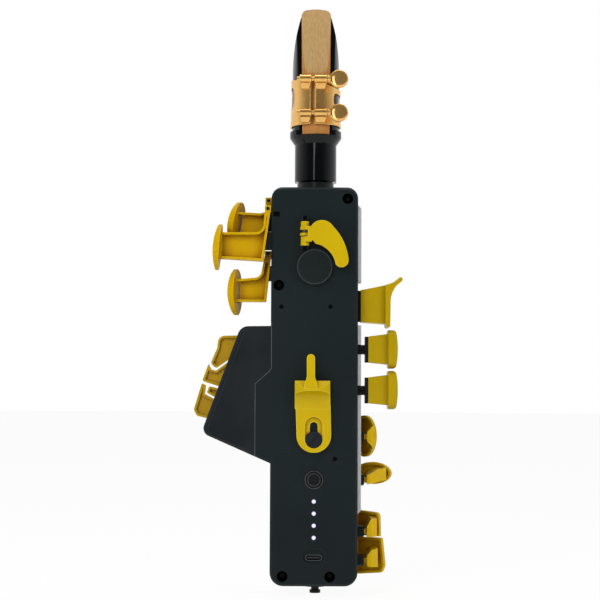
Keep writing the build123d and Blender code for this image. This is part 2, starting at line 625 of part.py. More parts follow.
def make_side_plunger(z, outer_x, height, flange):
    """Post of a side key; a flanged one has a grooved neck that the key is pushed onto."""
    half = height / 2
    post = block((18.0, outer_x), (SIDE_KEY_Y - 2.5, SIDE_KEY_Y + 2.5), (z - half, z + half))
    if flange:
        post += block((outer_x, 30.0), (12.0, 20.0), (z - FLANGE_HALF, z + FLANGE_HALF))
        post -= block((24.4, outer_x), (10, SIDE_KEY_Y - 1.0), (z - 0.5, z + 0.5))
    return post


def post_face(y, z, gap=0.0):
    """Square section with cut corners, for the posts of the edge keys."""
    section = Pos(y, z) * Rectangle(2 * (EDGE_POST_HALF + gap), 2 * (EDGE_POST_HALF + gap))
    return chamfer(section.vertices(), 1.0)


def make_edge_plunger(z):
    post = wide(post_face(EDGE_POST_Y, z), 18.0, 28.2)
    return chamfer(post.edges().filter_by_position(Axis.X, 28.1, 28.3), 0.6)


def dish_plane(x, y, z, tilt):
    """Plane on a touch face that looks to the front and the right; its axes run outwards and up."""
    lean = math.radians(tilt)
    return Plane(origin=(x, y, z), x_dir=(math.cos(lean), -math.sin(lean), 0),
                 z_dir=(-math.sin(lean), -math.cos(lean), 0))


def make_edge_key(plane, face, hollow, arm, neck_z):
    """Key on an edge post: a hollow-backed touch plate and the arm that joins it to its post."""
    plate = extrude(plane * face, amount=2.4)
    plate -= extrude(plane.offset(1.2) * hollow, amount=2.0)
    near = EDGE_POST_Y - 3.0
    arm = deep(arm, near, 50.0)
    arm &= tall(outline([(29, near), (32.6, near), (44, near + 14), (44, 50), (29, 50)]), -180, -80)
    arm -= extrude(plane.offset(1.0) * Rectangle(90, 90), amount=-40)
    neck = block((28.2, 30.4), (EDGE_POST_Y - 1.4, EDGE_POST_Y + 1.4), (neck_z - 1.4, neck_z + 1.4))
    return plate + arm + neck


def make_high_f_sharp_key():
    post_z = EDGE_POST_Z[0]
    plane = dish_plane(30.4, 38.0, -93.8, 40)
    arm = outline([(29.8, post_z + 2.6), (33.6, post_z + 6.6), (33.6, post_z - 6.2), (29.8, post_z - 2.6)])
    return make_edge_key(plane, Ellipse(7.4, 11.75), Ellipse(6.0, 10.35), arm, post_z)


def make_trill_key():
    post_z = EDGE_POST_Z[1]
    plane = dish_plane(34.8, 41.0, -114.9, 25)
    arm = outline([(29.8, post_z + 2.6), (36.0, post_z + 5.6), (41.0, post_z + 6.2),
                   (41.0, post_z - 0.4), (29.8, post_z - 2.4)])
    return make_edge_key(plane, Ellipse(11.0, 6.25), Ellipse(9.6, 4.85), arm, post_z)


def make_low_e_flat_key():
    post_z = EDGE_POST_Z[2]
    plane = dish_plane(31.9, 39.0, -143.2, 30)
    face = outline([(-7.8, 7.4), (7.4, 6.2), (7.8, -7.0), (-7.8, -7.0)], [(1, 2.5)])
    arm = outline([(29.8, post_z + 2.8), (32.2, post_z + 7.0), (35.4, post_z + 6.6),
                   (35.4, post_z - 3.0), (29.8, post_z - 3.0)])
    return make_edge_key(plane, face, offset(face, -1.4, kind=Kind.INTERSECTION), arm, post_z)


def make_low_c_key():
    post_z = EDGE_POST_Z[3]
    plane = dish_plane(32.6, 40.0, -160.8, 30)
    face = outline([(-8.6, 9.6), (8.2, 9.6), (10.0, -6.0), (8.4, -9.8), (-8.6, -11.6)],
                   [(1, 0.8), (2, 2.0), (3, 2.0)])
    arm = outline([(29.8, post_z + 2.8), (32.2, post_z + 5.8), (36.0, post_z + 6.4),
                   (36.0, post_z - 3.8), (29.8, post_z - 3.0)])
    return make_edge_key(plane, face, offset(face, -1.4, kind=Kind.INTERSECTION), arm, post_z)


def make_table_key(points, corners):
    """Plate with a skirt round its edge, and a knuckle that is clipped over the rod."""
    face = outline(points, corners)
    heights = [z for x, z in points if x == ROD_X]
    key = deep(face, TABLE_NEAR, TABLE_FAR)
    pocket = offset(face, -1.3, kind=Kind.INTERSECTION) - Pos(-26, -62) * Rectangle(20, 60)
    key -= deep(pocket, TABLE_NEAR - 1, TABLE_FAR - 1.4)
    knuckle_z = (min(heights), max(heights))
    key += block((ROD_X - KNUCKLE, ROD_X + KNUCKLE), (ROD_Y - KNUCKLE, ROD_Y + KNUCKLE), knuckle_z)
    slot = ROD_R + RUN
    return key - block((ROD_X - slot, ROD_X + slot), (ROD_Y - KNUCKLE, ROD_Y + slot), (-95, -30))


def make_palm_key(stem, pin, pad, y_near, y_far, opening=None):
    """Palm key: channel-section stem and arm, an eye for its pin and an oval pad.

    The opening is where the channel's floor stops short of the pad.
    """
    points, corners = stem
    face = outline(points, corners)
    pin_z = pin[0]
    body = deep(face, y_near, y_far)
    pocket = offset(face, -1.25, kind=Kind.INTERSECTION)
    pocket -= Pos(PALM_PIN_X, pin_z) * Rectangle(12, 9)
    body -= deep(pocket, y_near - 1, y_near + 4.0)
    if opening:
        body -= deep(outline(opening), y_near - 1, y_far + 1)
    eye_x = (PALM_PIN_X - PALM_EYE, PALM_PIN_X + PALM_EYE)
    body += block(eye_x, (y_near, y_far), (pin_z - PALM_EYE, pin_z + PALM_EYE))
    body -= rod_y(PALM_PIN_X, pin_z, PALM_PIN_R + RUN, y_near - 1, y_far + 1)
    return body + pad


def palm_pad(x, y, z, turn, tilt, height, width):
    """Oval pad with a curved outer face, turned about the upright axis and tilted."""
    thick = 3.5
    curve = 46.0
    pad = wide(Ellipse(width / 2, height / 2), -thick, 0)
    pad &= rod_y(curve - thick, 0, curve, -width, width)
    return Pos(x, y, z) * Rot(0, tilt, 0) * Rot(0, 0, turn) * pad


def make_palm_foot(index, stem):
    """Black foot whose outer end lies against the inner edge of its key."""
    x_range, y_range, z_range = PALM_FEET[index]
    points, corners = stem
    return block(x_range, y_range, z_range) - deep(outline(points), y_range[0] - 1, y_range[1] + 1)


back = back_form()
save("back_shell", make_back_shell(back))
save("wing_cover", make_wing_cover(back))
save("front_shell", make_front_shell())
save("neck_tenon", make_neck_tenon())
save("tenon_cork", make_tenon_cork())
save("air_tube", make_air_tube())
save("mouthpiece", make_mouthpiece())
save("reed", make_reed())
save("ligature", make_ligature())
save("ligature_screw_lower", make_ligature_screw(SCREW_Z[0]))
save("ligature_screw_upper", make_ligature_screw(SCREW_Z[1]))
save("thumb_rest", make_thumb_rest())
save("octave_key", make_octave_key())
save("octave_hinge_pin", make_octave_pin())
save("octave_spring", make_octave_spring())
save("thumb_hook", make_thumb_hook())
save("thumb_hook_screw", make_hook_screw())
save("power_button", make_power_button())
save("light_pipes", make_light_pipes())
save("usb_socket", make_usb_socket())
save("drain_plug", make_drain_plug())
save("circuit_board", make_circuit_board())
save("key_board", make_key_board())
save("battery", make_battery())
save("key_switches", make_key_switches())
for key_name, key_z, touch_radius in STACK_KEYS:
    save(key_name, make_stack_key(key_z, touch_radius))
save("side_e_key", make_upper_side_key())
save("side_c_key", make_side_key(-34.2, -55.6))
save("side_b_flat_key", make_side_key(-56.9, -78.2))
save("side_e_plunger", make_side_plunger(SIDE_POST_Z[0], 25.9, UPPER_POST, False))
save("side_c_plunger", make_side_plunger(SIDE_POST_Z[1], 28.3, SIDE_POST, True))
save("side_b_flat_plunger", make_side_plunger(SIDE_POST_Z[2], 28.3, SIDE_POST, True))
save("high_f_sharp_key", make_high_f_sharp_key())
save("trill_key", make_trill_key())
save("low_e_flat_key", make_low_e_flat_key())
save("low_c_key", make_low_c_key())
for key_name, post_z in zip(("high_f_sharp", "trill", "low_e_flat", "low_c"), EDGE_POST_Z):
    save(f"{key_name}_plunger", make_edge_plunger(post_z))
for key_name, (points, corners) in TABLE_KEYS.items():
    save(key_name, make_table_key(points, corners))
save("table_key_rod", rod_z(ROD_X, ROD_Y, ROD_R, -90.4, -34.5))
middle_pad = palm_pad(-52.3, 8.0, 11.2, -2, 4.5, 25.6, 18.0)
upper_pad = palm_pad(-42.6, 21.0, 25.0, -19, 8.0, 26.0, 18.0)
lower_pad = palm_pad(-42.8, 16.0, -13.2, -14, 0.0, 25.8, 18.0)
save("palm_key_middle", make_palm_key(MIDDLE_STEM, PALM_PINS[0], middle_pad, 4.4, 11.6))
save("palm_key_upper", make_palm_key(UPPER_STEM, PALM_PINS[1], upper_pad, 17.0, 23.0, UPPER_OPENING))
save("palm_key_lower", make_palm_key(LOWER_STEM, PALM_PINS[2], lower_pad, 13.0, 18.0, LOWER_OPENING))
save("palm_foot_middle", make_palm_foot(0, MIDDLE_STEM))
save("palm_foot_upper", make_palm_foot(1, UPPER_STEM))
save("palm_foot_lower", make_palm_foot(2, LOWER_STEM))
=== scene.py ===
import json
import math

import bmesh
import bpy
from mathutils import Matrix, Vector

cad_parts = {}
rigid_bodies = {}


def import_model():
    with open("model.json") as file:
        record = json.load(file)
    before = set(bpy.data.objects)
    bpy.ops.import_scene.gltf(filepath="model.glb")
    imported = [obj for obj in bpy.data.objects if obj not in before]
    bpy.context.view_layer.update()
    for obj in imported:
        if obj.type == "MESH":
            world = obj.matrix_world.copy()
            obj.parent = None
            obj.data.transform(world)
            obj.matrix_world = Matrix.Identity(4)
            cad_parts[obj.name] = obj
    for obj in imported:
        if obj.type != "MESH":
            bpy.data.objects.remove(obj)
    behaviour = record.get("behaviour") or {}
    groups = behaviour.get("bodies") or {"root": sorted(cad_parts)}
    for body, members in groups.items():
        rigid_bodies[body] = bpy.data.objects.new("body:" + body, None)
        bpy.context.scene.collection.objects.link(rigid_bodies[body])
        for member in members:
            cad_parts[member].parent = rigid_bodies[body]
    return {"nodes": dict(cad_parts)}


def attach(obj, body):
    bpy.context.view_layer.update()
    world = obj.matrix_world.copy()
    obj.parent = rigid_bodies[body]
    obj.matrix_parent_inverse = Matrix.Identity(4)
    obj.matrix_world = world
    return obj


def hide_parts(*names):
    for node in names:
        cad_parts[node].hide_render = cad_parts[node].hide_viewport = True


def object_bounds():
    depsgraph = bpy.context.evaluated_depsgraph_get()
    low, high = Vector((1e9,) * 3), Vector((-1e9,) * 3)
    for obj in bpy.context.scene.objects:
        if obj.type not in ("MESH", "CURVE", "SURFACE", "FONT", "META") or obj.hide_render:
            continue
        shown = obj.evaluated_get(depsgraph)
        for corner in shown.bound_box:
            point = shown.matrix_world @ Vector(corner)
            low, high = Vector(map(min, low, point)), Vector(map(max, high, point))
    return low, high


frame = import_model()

for spare in [thing for thing in bpy.data.objects if thing.name in ("Cube", "Light", "Camera")]:
    bpy.data.objects.remove(spare)
cad_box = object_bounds()
nodes = frame["nodes"]
MM = 0.001

# Stage: a plain pale floor, plain soft studio light and the camera. The instrument stands upright on
# its drain plug, seen from its back by a camera a little to the left that looks slightly upwards.
CAMERA_PLACE = (-0.008, -0.797, -0.066)
CAMERA_TILT = 93.42
CAMERA_ROLL = 0.25
CAMERA_LENS = 87.3
CAMERA_NEAREST = 0.05
STUDIO_HEIGHT = -0.02
DIM_BEHIND_CAMERA = 0.1
SOFT_DAYLIGHT = 0.42
FLOOR_RADIUS = 6.0
FLOOR_CORNERS = 96
FLOOR_GAP = 0.0005
PAPER_GLOW = 0.94
# Each lamp has a name, a place, a size, a power, and whether the instrument mirrors it
LAMPS = [("key_softbox", (-0.55, -0.95, 0.55), (0.5, 0.7), 8.0, False),
         ("fill_softbox", (0.75, -0.75, 0.15), (0.5, 0.8), 3.5, False),
         ("strip_softbox", (-0.19, -1.15, 0.1), (0.11, 0.7), 1.0, True),
         ("top_softbox", (0.0, 0.1, 0.9), (0.7, 0.5), 3.0, True)]
# A Mix node repeats the names of its sockets for each kind of data, so they go by number
FACTOR, VALUE_A, VALUE_B, COLOUR_A, COLOUR_B, COLOUR_OUT = 0, 2, 3, 6, 7, 2


def hex_colour(code):
    """sRGB hex value as the linear colour that a shader takes."""
    parts = [int(code[at:at + 2], 16) / 255 for at in (0, 2, 4)]
    linear = [part / 12.92 if part <= 0.04045 else ((part + 0.055) / 1.055) ** 2.4 for part in parts]
    return linear + [1.0]


def add_node(owner, kind, settings=None, links=None):
    """Adds one node: settings are its own properties or its inputs' values, links feed its inputs."""
    node = owner.node_tree.nodes.new(kind)
    for name, value in (settings or {}).items():
        if isinstance(name, int) or name in node.inputs:
            node.inputs[name].default_value = value
        else:
            setattr(node, name, value)
    for name, socket in (links or {}).items():
        owner.node_tree.links.new(socket, node.inputs[name])
    return node


def new_finish(name):
    """An empty node material with its output node's surface input."""
    finish = bpy.data.materials.new(name)
    finish.use_nodes = True
    finish.node_tree.nodes.clear()
    return finish, add_node(finish, "ShaderNodeOutputMaterial").inputs["Surface"]


camera = bpy.data.objects.new("camera", bpy.data.cameras.new("camera"))
camera.data.lens = CAMERA_LENS
camera.data.clip_start = CAMERA_NEAREST
camera.matrix_world = (Matrix.Translation(CAMERA_PLACE) @ Matrix.Rotation(math.radians(CAMERA_TILT), 4, "X")
                       @ Matrix.Rotation(math.radians(CAMERA_ROLL), 4, "Z"))
bpy.context.scene.collection.objects.link(camera)
bpy.context.scene.camera = camera
bpy.context.scene.view_settings.view_transform = "Standard"

# The room is white behind and beside the instrument, as the background shows, and dim behind the camera
room = bpy.data.worlds.new("studio_room")
bpy.context.scene.world = room
room.use_nodes = True
room.node_tree.nodes.clear()
rays = add_node(room, "ShaderNodeLightPath")
heading = add_node(room, "ShaderNodeTexCoord")
heading = add_node(room, "ShaderNodeSeparateXYZ", links={"Vector": heading.outputs["Generated"]})
mirrored = add_node(room, "ShaderNodeMapRange",
                    {"From Min": -0.8, "From Max": 0.1, "To Min": DIM_BEHIND_CAMERA},
                    {"Value": heading.outputs["Y"]})
soft = add_node(room, "ShaderNodeMix", {VALUE_A: SOFT_DAYLIGHT},
                {FACTOR: rays.outputs["Is Glossy Ray"], VALUE_B: mirrored.outputs[0]})
seen = add_node(room, "ShaderNodeMath", {"operation": "MAXIMUM"},
                {0: rays.outputs["Is Camera Ray"], 1: rays.outputs["Is Transmission Ray"]})
strength = add_node(room, "ShaderNodeMix", {VALUE_B: 1.0},
                    {FACTOR: seen.outputs[0], VALUE_A: soft.outputs[0]})
light = add_node(room, "ShaderNodeBackground", {"Color": (1, 1, 1, 1)}, {"Strength": strength.outputs[0]})
add_node(room, "ShaderNodeOutputWorld", links={"Surface": light.outputs[0]})

for name, place, size, power, mirrored_in_gloss in LAMPS:
    lamp = bpy.data.objects.new(name, bpy.data.lights.new(name, "AREA"))
    lamp.data.shape = "RECTANGLE"
    lamp.data.size, lamp.data.size_y = size
    lamp.data.energy = power
    lamp.location = place
    lamp.visible_glossy = mirrored_in_gloss
    aim = Vector((0.0, 0.0, STUDIO_HEIGHT)) - Vector(place)
    lamp.rotation_euler = aim.to_track_quat("-Z", "Y").to_euler()
    bpy.context.scene.collection.objects.link(lamp)

floor_mesh = bmesh.new()
bmesh.ops.create_circle(floor_mesh, cap_ends=True, segments=FLOOR_CORNERS, radius=FLOOR_RADIUS)
bmesh.ops.translate(floor_mesh, vec=(0, 0, cad_box[0].z - FLOOR_GAP), verts=floor_mesh.verts)
floor = bpy.data.objects.new("floor", bpy.data.meshes.new("floor"))
floor_mesh.to_mesh(floor.data)
floor_mesh.free()
bpy.context.scene.collection.objects.link(floor)
# Matt white paper: it shows as white as the background, and still takes the instrument's soft shadow
paper, surface = new_finish("white_paper_floor")
matt = add_node(paper, "ShaderNodeBsdfDiffuse", {"Color": hex_colour("f7f7f7")})
glow = add_node(paper, "ShaderNodeEmission", {"Strength": 1.0})
rays = add_node(paper, "ShaderNodeLightPath")
seen = add_node(paper, "ShaderNodeMath", {"operation": "MAXIMUM"},
                {0: rays.outputs["Is Camera Ray"], 1: rays.outputs["Is Glossy Ray"]})
share = add_node(paper, "ShaderNodeMath", {"operation": "MULTIPLY", 1: PAPER_GLOW}, {0: seen.outputs[0]})
blend = add_node(paper, "ShaderNodeMixShader",
                 links={0: share.outputs[0], 1: matt.outputs[0], 2: glow.outputs[0]})
paper.node_tree.links.new(blend.outputs[0], surface)
floor.data.materials.append(paper)

# Housing: two injection-moulded ABS shells that meet in a seam 9 mm behind the back, held together by
# screws from the back. A raised guide rail runs down the front shell's right side; its pale line is a painted
# reflection of the white room.
HOUSING_TONES = ("0f1819", "131c1e")
HOUSING_GRAIN = {"roughness": 0.45, "gloss": 0.14, "patch_mm": 60.0, "grain_mm": 0.6, "depth_mm": 0.006}
# Pale tone of the rail: painted reflection of the white room
RAIL_REFLECTION_TONE = "ccced0"
RAIL_FOOT_X = 24.05
RAIL_BLEND = 0.3
WELD_GAP = 0.002
EDGE_ANGLE = math.radians(35)


def moulded_plastic(name, dark, pale, roughness, gloss, patch_mm=30.0, grain_mm=0.5, depth_mm=0.004):
    """Coloured moulded plastic: two close tones in wide patches, a fine mould grain and an even gloss."""
    finish, surface = new_finish(name)
    place = add_node(finish, "ShaderNodeTexCoord").outputs["Object"]
    patches = add_node(finish, "ShaderNodeTexNoise", {"Scale": 1 / (patch_mm * MM), "Detail": 2.0},
                       {"Vector": place})
    spread = add_node(finish, "ShaderNodeMapRange", {"From Min": 0.35, "From Max": 0.65},
                      {"Value": patches.outputs["Fac"]})
    tone = add_node(finish, "ShaderNodeMix",
                    {"data_type": "RGBA", COLOUR_A: hex_colour(dark), COLOUR_B: hex_colour(pale)},
                    {FACTOR: spread.outputs[0]})
    grain = add_node(finish, "ShaderNodeTexNoise", {"Scale": 1 / (grain_mm * MM), "Detail": 3.0},
                     {"Vector": place})
    bump = add_node(finish, "ShaderNodeBump", {"Strength": 1.0, "Distance": depth_mm * MM},
                    {"Height": grain.outputs["Fac"]})
    shader = add_node(finish, "ShaderNodeBsdfPrincipled",
                      {"Roughness": roughness, "IOR": 1.5, "Specular IOR Level": gloss},
                      {"Base Color": tone.outputs[COLOUR_OUT], "Normal": bump.outputs[0]})
    finish.node_tree.links.new(shader.outputs[0], surface)
    return finish


def tint_where(finish, axis, start_mm, end_mm, code):
    """Mixes a second colour into a finish along one axis, from nothing at start to all of it at end."""
    shader = finish.node_tree.nodes["Principled BSDF"]
    place = add_node(finish, "ShaderNodeTexCoord").outputs["Object"]
    place = add_node(finish, "ShaderNodeSeparateXYZ", links={"Vector": place})
    reach = add_node(finish, "ShaderNodeMapRange", {"From Min": start_mm * MM, "From Max": end_mm * MM},
                     {"Value": place.outputs[axis]})
    base = shader.inputs["Base Color"].links[0].from_socket
    tint = add_node(finish, "ShaderNodeMix", {"data_type": "RGBA", COLOUR_B: hex_colour(code)},
                    {FACTOR: reach.outputs[0], COLOUR_A: base})
    finish.node_tree.links.new(tint.outputs[COLOUR_OUT], shader.inputs["Base Color"])


def dress(name, finish, edge_mm=0.0, segments=2):
    """Gives a carried-over solid its finish, and rounds its edges by so many millimetres."""
    solid = nodes[name]
    solid.data.materials.clear()
    solid.data.materials.append(finish)
    if edge_mm:
        weld = solid.modifiers.new("weld", "WELD")
        weld.merge_threshold = WELD_GAP * MM
        edge = solid.modifiers.new("edge", "BEVEL")
        edge.width = edge_mm * MM
        edge.segments = segments
        edge.limit_method = "ANGLE"
        edge.angle_limit = EDGE_ANGLE
        shade = solid.modifiers.new("shade", "WEIGHTED_NORMAL")
        shade.keep_sharp = False
        for face in solid.data.polygons:
            face.use_smooth = True


# Satin ABS, dark greenish grey: a fine spark-eroded grain that only softens the highlights
housing_plastic = moulded_plastic("satin_abs_dark", *HOUSING_TONES, **HOUSING_GRAIN)
dress("back_shell", housing_plastic, 0.3)
# The same ABS on the front shell, where the rail is painted pale as a painted reflection of the white room, a
# light line
rail_reflection_plastic = moulded_plastic("satin_abs_with_painted_rail_reflection", *HOUSING_TONES, **HOUSING_GRAIN)
tint_where(rail_reflection_plastic, "X", RAIL_FOOT_X, RAIL_FOOT_X + RAIL_BLEND, RAIL_REFLECTION_TONE)
dress("front_shell", rail_reflection_plastic, 0.3)

# Wing cover: a flat bare panel with a fine grain, pressed from slightly bluer ABS sheet and clipped into
# the back of the wing. The housing's edge beside it is chamfered, and the sheet has a faint step.
WING_BACK_Y = 3.06
PANEL_EDGE = [(-23.55, -30.6), (-23.55, -55.9), (-24.5, -57.4), (-32.4, -64.4), (-32.4, -103.9)]
PANEL_EDGE_WIDTH = 0.34
PANEL_STEP = [(-38.3, -35.4), (-58.4, -88.6), (-57.6, -91.6), (-55.0, -93.3), (-35.2, -101.3)]
PANEL_STEP_WIDTH = 0.4


def drawn_line(name, points, width, finish):
    """A thin raised line of round section that follows points on the back of the wing."""
    path = bpy.data.curves.new(name, "CURVE")
    path.dimensions = "3D"
    path.bevel_depth = width / 2 * MM
    path.bevel_resolution = 2
    run = path.splines.new("POLY")
    run.points.add(len(points) - 1)
    for point, (x, z) in zip(run.points, points):
        point.co = (x * MM, WING_BACK_Y * MM, z * MM, 1.0)
    route = bpy.data.objects.new(name, path)
    bpy.context.scene.collection.objects.link(route)
    line = bpy.data.objects.new(name, bpy.data.meshes.new_from_object(route))
    bpy.data.objects.remove(route)
    line.data.materials.clear()
    line.data.materials.append(finish)
    bpy.context.scene.collection.objects.link(line)
    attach(line, "housing")


# Pressed ABS sheet: bluer than the shells, with a grain that is coarse enough to see
panel_plastic = moulded_plastic("grained_abs_panel", "12171a", "171d20", 0.5, 0.16, 20.0, 0.9, 0.02)
dress("wing_cover", panel_plastic, 0.2)
# The chamfer is the housing's ABS with its edge drawn paler and smoother: painted highlight where it catches
# the light
edge_highlight_abs = moulded_plastic("abs_painted_edge_highlight", "4c5150", "5a5f5d", 0.3, 0.3, 12.0)
drawn_line("panel_edge_line", PANEL_EDGE, PANEL_EDGE_WIDTH, edge_highlight_abs)
# The panel's own step is a faint line of its sheet, a little paler than its face as painted highlight
step_highlight_abs = moulded_plastic("abs_sheet_painted_step_highlight", "1c2226", "23292d", 0.4, 0.25, 12.0)
drawn_line("panel_step_line", PANEL_STEP, PANEL_STEP_WIDTH, step_highlight_abs)

# Case screws: four black steel screws with a hexagon socket, sunk 6 mm into bores that are lined with black
# painted shade, so that little more than a dark hole shows.
CASE_SCREWS = [(18.2, 38.1), (-19.7, -10.0), (-17.1, -169.1), (8.8, -169.3)]
BORE_RADIUS = 2.93
BORE_MOUTH_Y = 3.15
BORE_FLOOR_Y = 8.97
SCREW_HEAD_RADIUS = 2.4
SCREW_HEAD_HEIGHT = 1.6
SOCKET_RADIUS = 1.2
SOCKET_DEPTH = 0.9
# Turns a mesh that is drawn lying flat so that its top faces the back
FACING_BACK = Matrix.Rotation(math.radians(90), 3, "X")


def spun(profile, centre, axis="Y", steps=32):
    """Closed ring or disc: a profile of (radius, height) points turned once about an axis through centre."""
    mesh = bmesh.new()
    corners = [mesh.verts.new((radius, 0, height)) for radius, height in profile]
    for first, second in zip(corners, corners[1:]):
        mesh.edges.new((first, second))
    bmesh.ops.spin(mesh, geom=mesh.verts[:] + mesh.edges[:], cent=(0, 0, 0), axis=(0, 0, 1),
                   angle=math.tau, steps=steps, use_merge=True)
    bmesh.ops.remove_doubles(mesh, verts=mesh.verts, dist=0.001)
    bmesh.ops.recalc_face_normals(mesh, faces=mesh.faces)
    if axis == "X":
        bmesh.ops.rotate(mesh, matrix=Matrix.Rotation(math.radians(90), 3, "Y"), verts=mesh.verts)
    elif axis == "Y":
        bmesh.ops.rotate(mesh, matrix=Matrix.Rotation(math.radians(-90), 3, "X"), verts=mesh.verts)
    bmesh.ops.translate(mesh, vec=centre, verts=mesh.verts)
    return mesh


def solid_block(*limits):
    """Square block from its lowest and highest x, y and z."""
    mesh = bmesh.new()
    bmesh.ops.create_cube(mesh, size=1.0)
    bmesh.ops.scale(mesh, vec=[high - low for low, high in limits], verts=mesh.verts)
    bmesh.ops.translate(mesh, vec=[(low + high) / 2 for low, high in limits], verts=mesh.verts)
    return mesh


def lift(mesh, faces, height, keep=False):
    """Extrudes faces of a flat-lying mesh upwards; with keep, they also stay as the underside."""
    raised = bmesh.ops.extrude_face_region(mesh, geom=faces, use_keep_orig=keep)["geom"]
    corners = [part for part in raised if isinstance(part, bmesh.types.BMVert)]
    bmesh.ops.translate(mesh, vec=(0, 0, height), verts=corners)


def joined(meshes):
    """One mesh from several that are drawn in the same millimetres."""
    whole = bmesh.new()
    for mesh in meshes:
        part = bpy.data.meshes.new("part")
        mesh.to_mesh(part)
        mesh.free()
        whole.from_mesh(part)
        bpy.data.meshes.remove(part)
    return whole


def finished(name, mesh, finish, body, sharp_degrees=40, bevel_mm=0.0):
    """Turns a mesh drawn in millimetres into a piece that rides on a body of the model."""
    bmesh.ops.scale(mesh, vec=(MM, MM, MM), verts=mesh.verts)
    piece = bpy.data.objects.new(name, bpy.data.meshes.new(name))
    mesh.to_mesh(piece.data)
    mesh.free()
    piece.data.materials.append(finish)
    bpy.context.scene.collection.objects.link(piece)
    for face in piece.data.polygons:
        face.use_smooth = True
    piece.data.set_sharp_from_angle(angle=math.radians(sharp_degrees))
    if bevel_mm:
        edge = piece.modifiers.new("edge", "BEVEL")
        edge.width = bevel_mm * MM
        edge.segments = 2
        edge.limit_method = "ANGLE"
        edge.angle_limit = EDGE_ANGLE
    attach(piece, body)
    return piece


def worked_steel(name, dark, pale, roughness, patch_mm):
    """Steel with two close tones, in patches as wide as what its making or wear leaves on it."""
    finish, surface = new_finish(name)
    place = add_node(finish, "ShaderNodeTexCoord").outputs["Object"]
    patches = add_node(finish, "ShaderNodeTexNoise", {"Scale": 1 / (patch_mm * MM)}, {"Vector": place})
    tone = add_node(finish, "ShaderNodeMix",
                    {"data_type": "RGBA", COLOUR_A: hex_colour(dark), COLOUR_B: hex_colour(pale)},
                    {FACTOR: patches.outputs["Fac"]})
    shader = add_node(finish, "ShaderNodeBsdfPrincipled", {"Metallic": 1.0, "Roughness": roughness},
                      {"Base Color": tone.outputs[COLOUR_OUT]})
    finish.node_tree.links.new(shader.outputs[0], surface)
    return finish


bores, heads = [], []
for x, z in CASE_SCREWS:
    bore = [(BORE_RADIUS, BORE_MOUTH_Y), (BORE_RADIUS, BORE_FLOOR_Y), (0, BORE_FLOOR_Y)]
    bores.append(spun(bore, (x, 0, z)))
    head = bmesh.new()
    bmesh.ops.create_circle(head, cap_ends=True, segments=24, radius=SCREW_HEAD_RADIUS)
    lift(head, head.faces[:], SCREW_HEAD_HEIGHT)
    crown = max(head.faces, key=lambda face: face.calc_center_median().z)
    bmesh.ops.inset_individual(head, faces=[crown], thickness=SCREW_HEAD_RADIUS - SOCKET_RADIUS)
    bmesh.ops.translate(head, vec=(0, 0, -SOCKET_DEPTH), verts=crown.verts)
    bmesh.ops.recalc_face_normals(head, faces=head.faces)
    bmesh.ops.rotate(head, matrix=FACING_BACK, verts=head.verts)
    bmesh.ops.translate(head, vec=(x, BORE_FLOOR_Y, z), verts=head.verts)
    heads.append(head)
# Raw black ABS with no gloss, so it swallows the light: as painted shade it lines the bores and fills the
# small holes and the square opening of the back; it is also the real black of the octave pin caps
black_abs_and_hole_shade = moulded_plastic("black_abs_and_painted_hole_shade", "030404", "050606", 0.8, 0.05)
# Black liners inside the bores: painted shade
finished("case_bores", joined(bores), black_abs_and_hole_shade, "housing")
# Blackened steel: a dull oxide skin with a soft dark sheen
black_steel = worked_steel("blackened_steel", "141516", "1f2021", 0.5, 1.5)
finished("case_screws", joined(heads), black_steel, "housing", bevel_mm=0.15)

# Dark openings of the back: three small round holes and the square opening near the top left, drawn as
# flush black discs and a black block of the same raw black ABS as the bores: painted shade.
SMALL_HOLE_SHADES = [(-18.2, -21.9), (8.8, -21.8), (11.5, -105.3)]
BACK_Y = 3.0
SHADE_SPOT_RADIUS = 1.25
SHADE_SPOT_RIM_Y = BACK_Y - 0.03
SHADE_SPOT_FACE_Y = BACK_Y - 0.01
SHADE_SPOT_SECTION = [(SHADE_SPOT_RADIUS, BACK_Y + 0.1), (SHADE_SPOT_RADIUS, SHADE_SPOT_RIM_Y), (SHADE_SPOT_RADIUS - 0.25, SHADE_SPOT_RIM_Y),
                (SHADE_SPOT_RADIUS - 0.4, SHADE_SPOT_FACE_Y), (0, SHADE_SPOT_FACE_Y)]
SLOT_SHADE_X = (-22.95, -19.45)
SLOT_SHADE_Y = (BACK_Y + 0.1, BACK_Y + 1.15)
SLOT_SHADE_Z = (28.02, 30.78)
shade_fills = [spun(SHADE_SPOT_SECTION, (x, 0, z), steps=24) for x, z in SMALL_HOLE_SHADES]
shade_fills.append(solid_block(SLOT_SHADE_X, SLOT_SHADE_Y, SLOT_SHADE_Z))
finished("back_plugs", joined(shade_fills), black_abs_and_hole_shade, "housing")

# Neck: a satin black collar turned in one with the tenon, the cork sleeve that grips the mouthpiece, and
# the white moulded air way behind it that leads down to the drain.
# Satin black ABS of the collar: smoother than the shells, with soft even highlights
dress("neck_tenon", moulded_plastic("satin_collar_black", "101516", "14191a", 0.3, 0.25), 0.4)
# Pressed natural cork: warm brown with darker pores about 1 mm wide
cork = moulded_plastic("pressed_natural_cork", "8a5f38", "c49a68", 0.85, 0.2, 1.2, 0.8, 0.12)
dress("tenon_cork", cork, 0.2)
# Unpainted ABS of the duct: plain off-white, slightly glossy
dress("air_tube", moulded_plastic("natural_abs_duct", "c8c8c2", "d4d4ce", 0.45, 0.4))

# Mouthpiece: turned and milled from a hard rubber rod, with a flat table for the reed and a thicker ring
# below it, and pushed on the cork of the neck.
# Polished hard rubber: near black, with mirror-like narrow highlights
rubber = moulded_plastic("polished_hard_rubber", "030506", "06090a", 0.1, 0.26, depth_mm=0.0004)
dress("mouthpiece", rubber, 0.1)

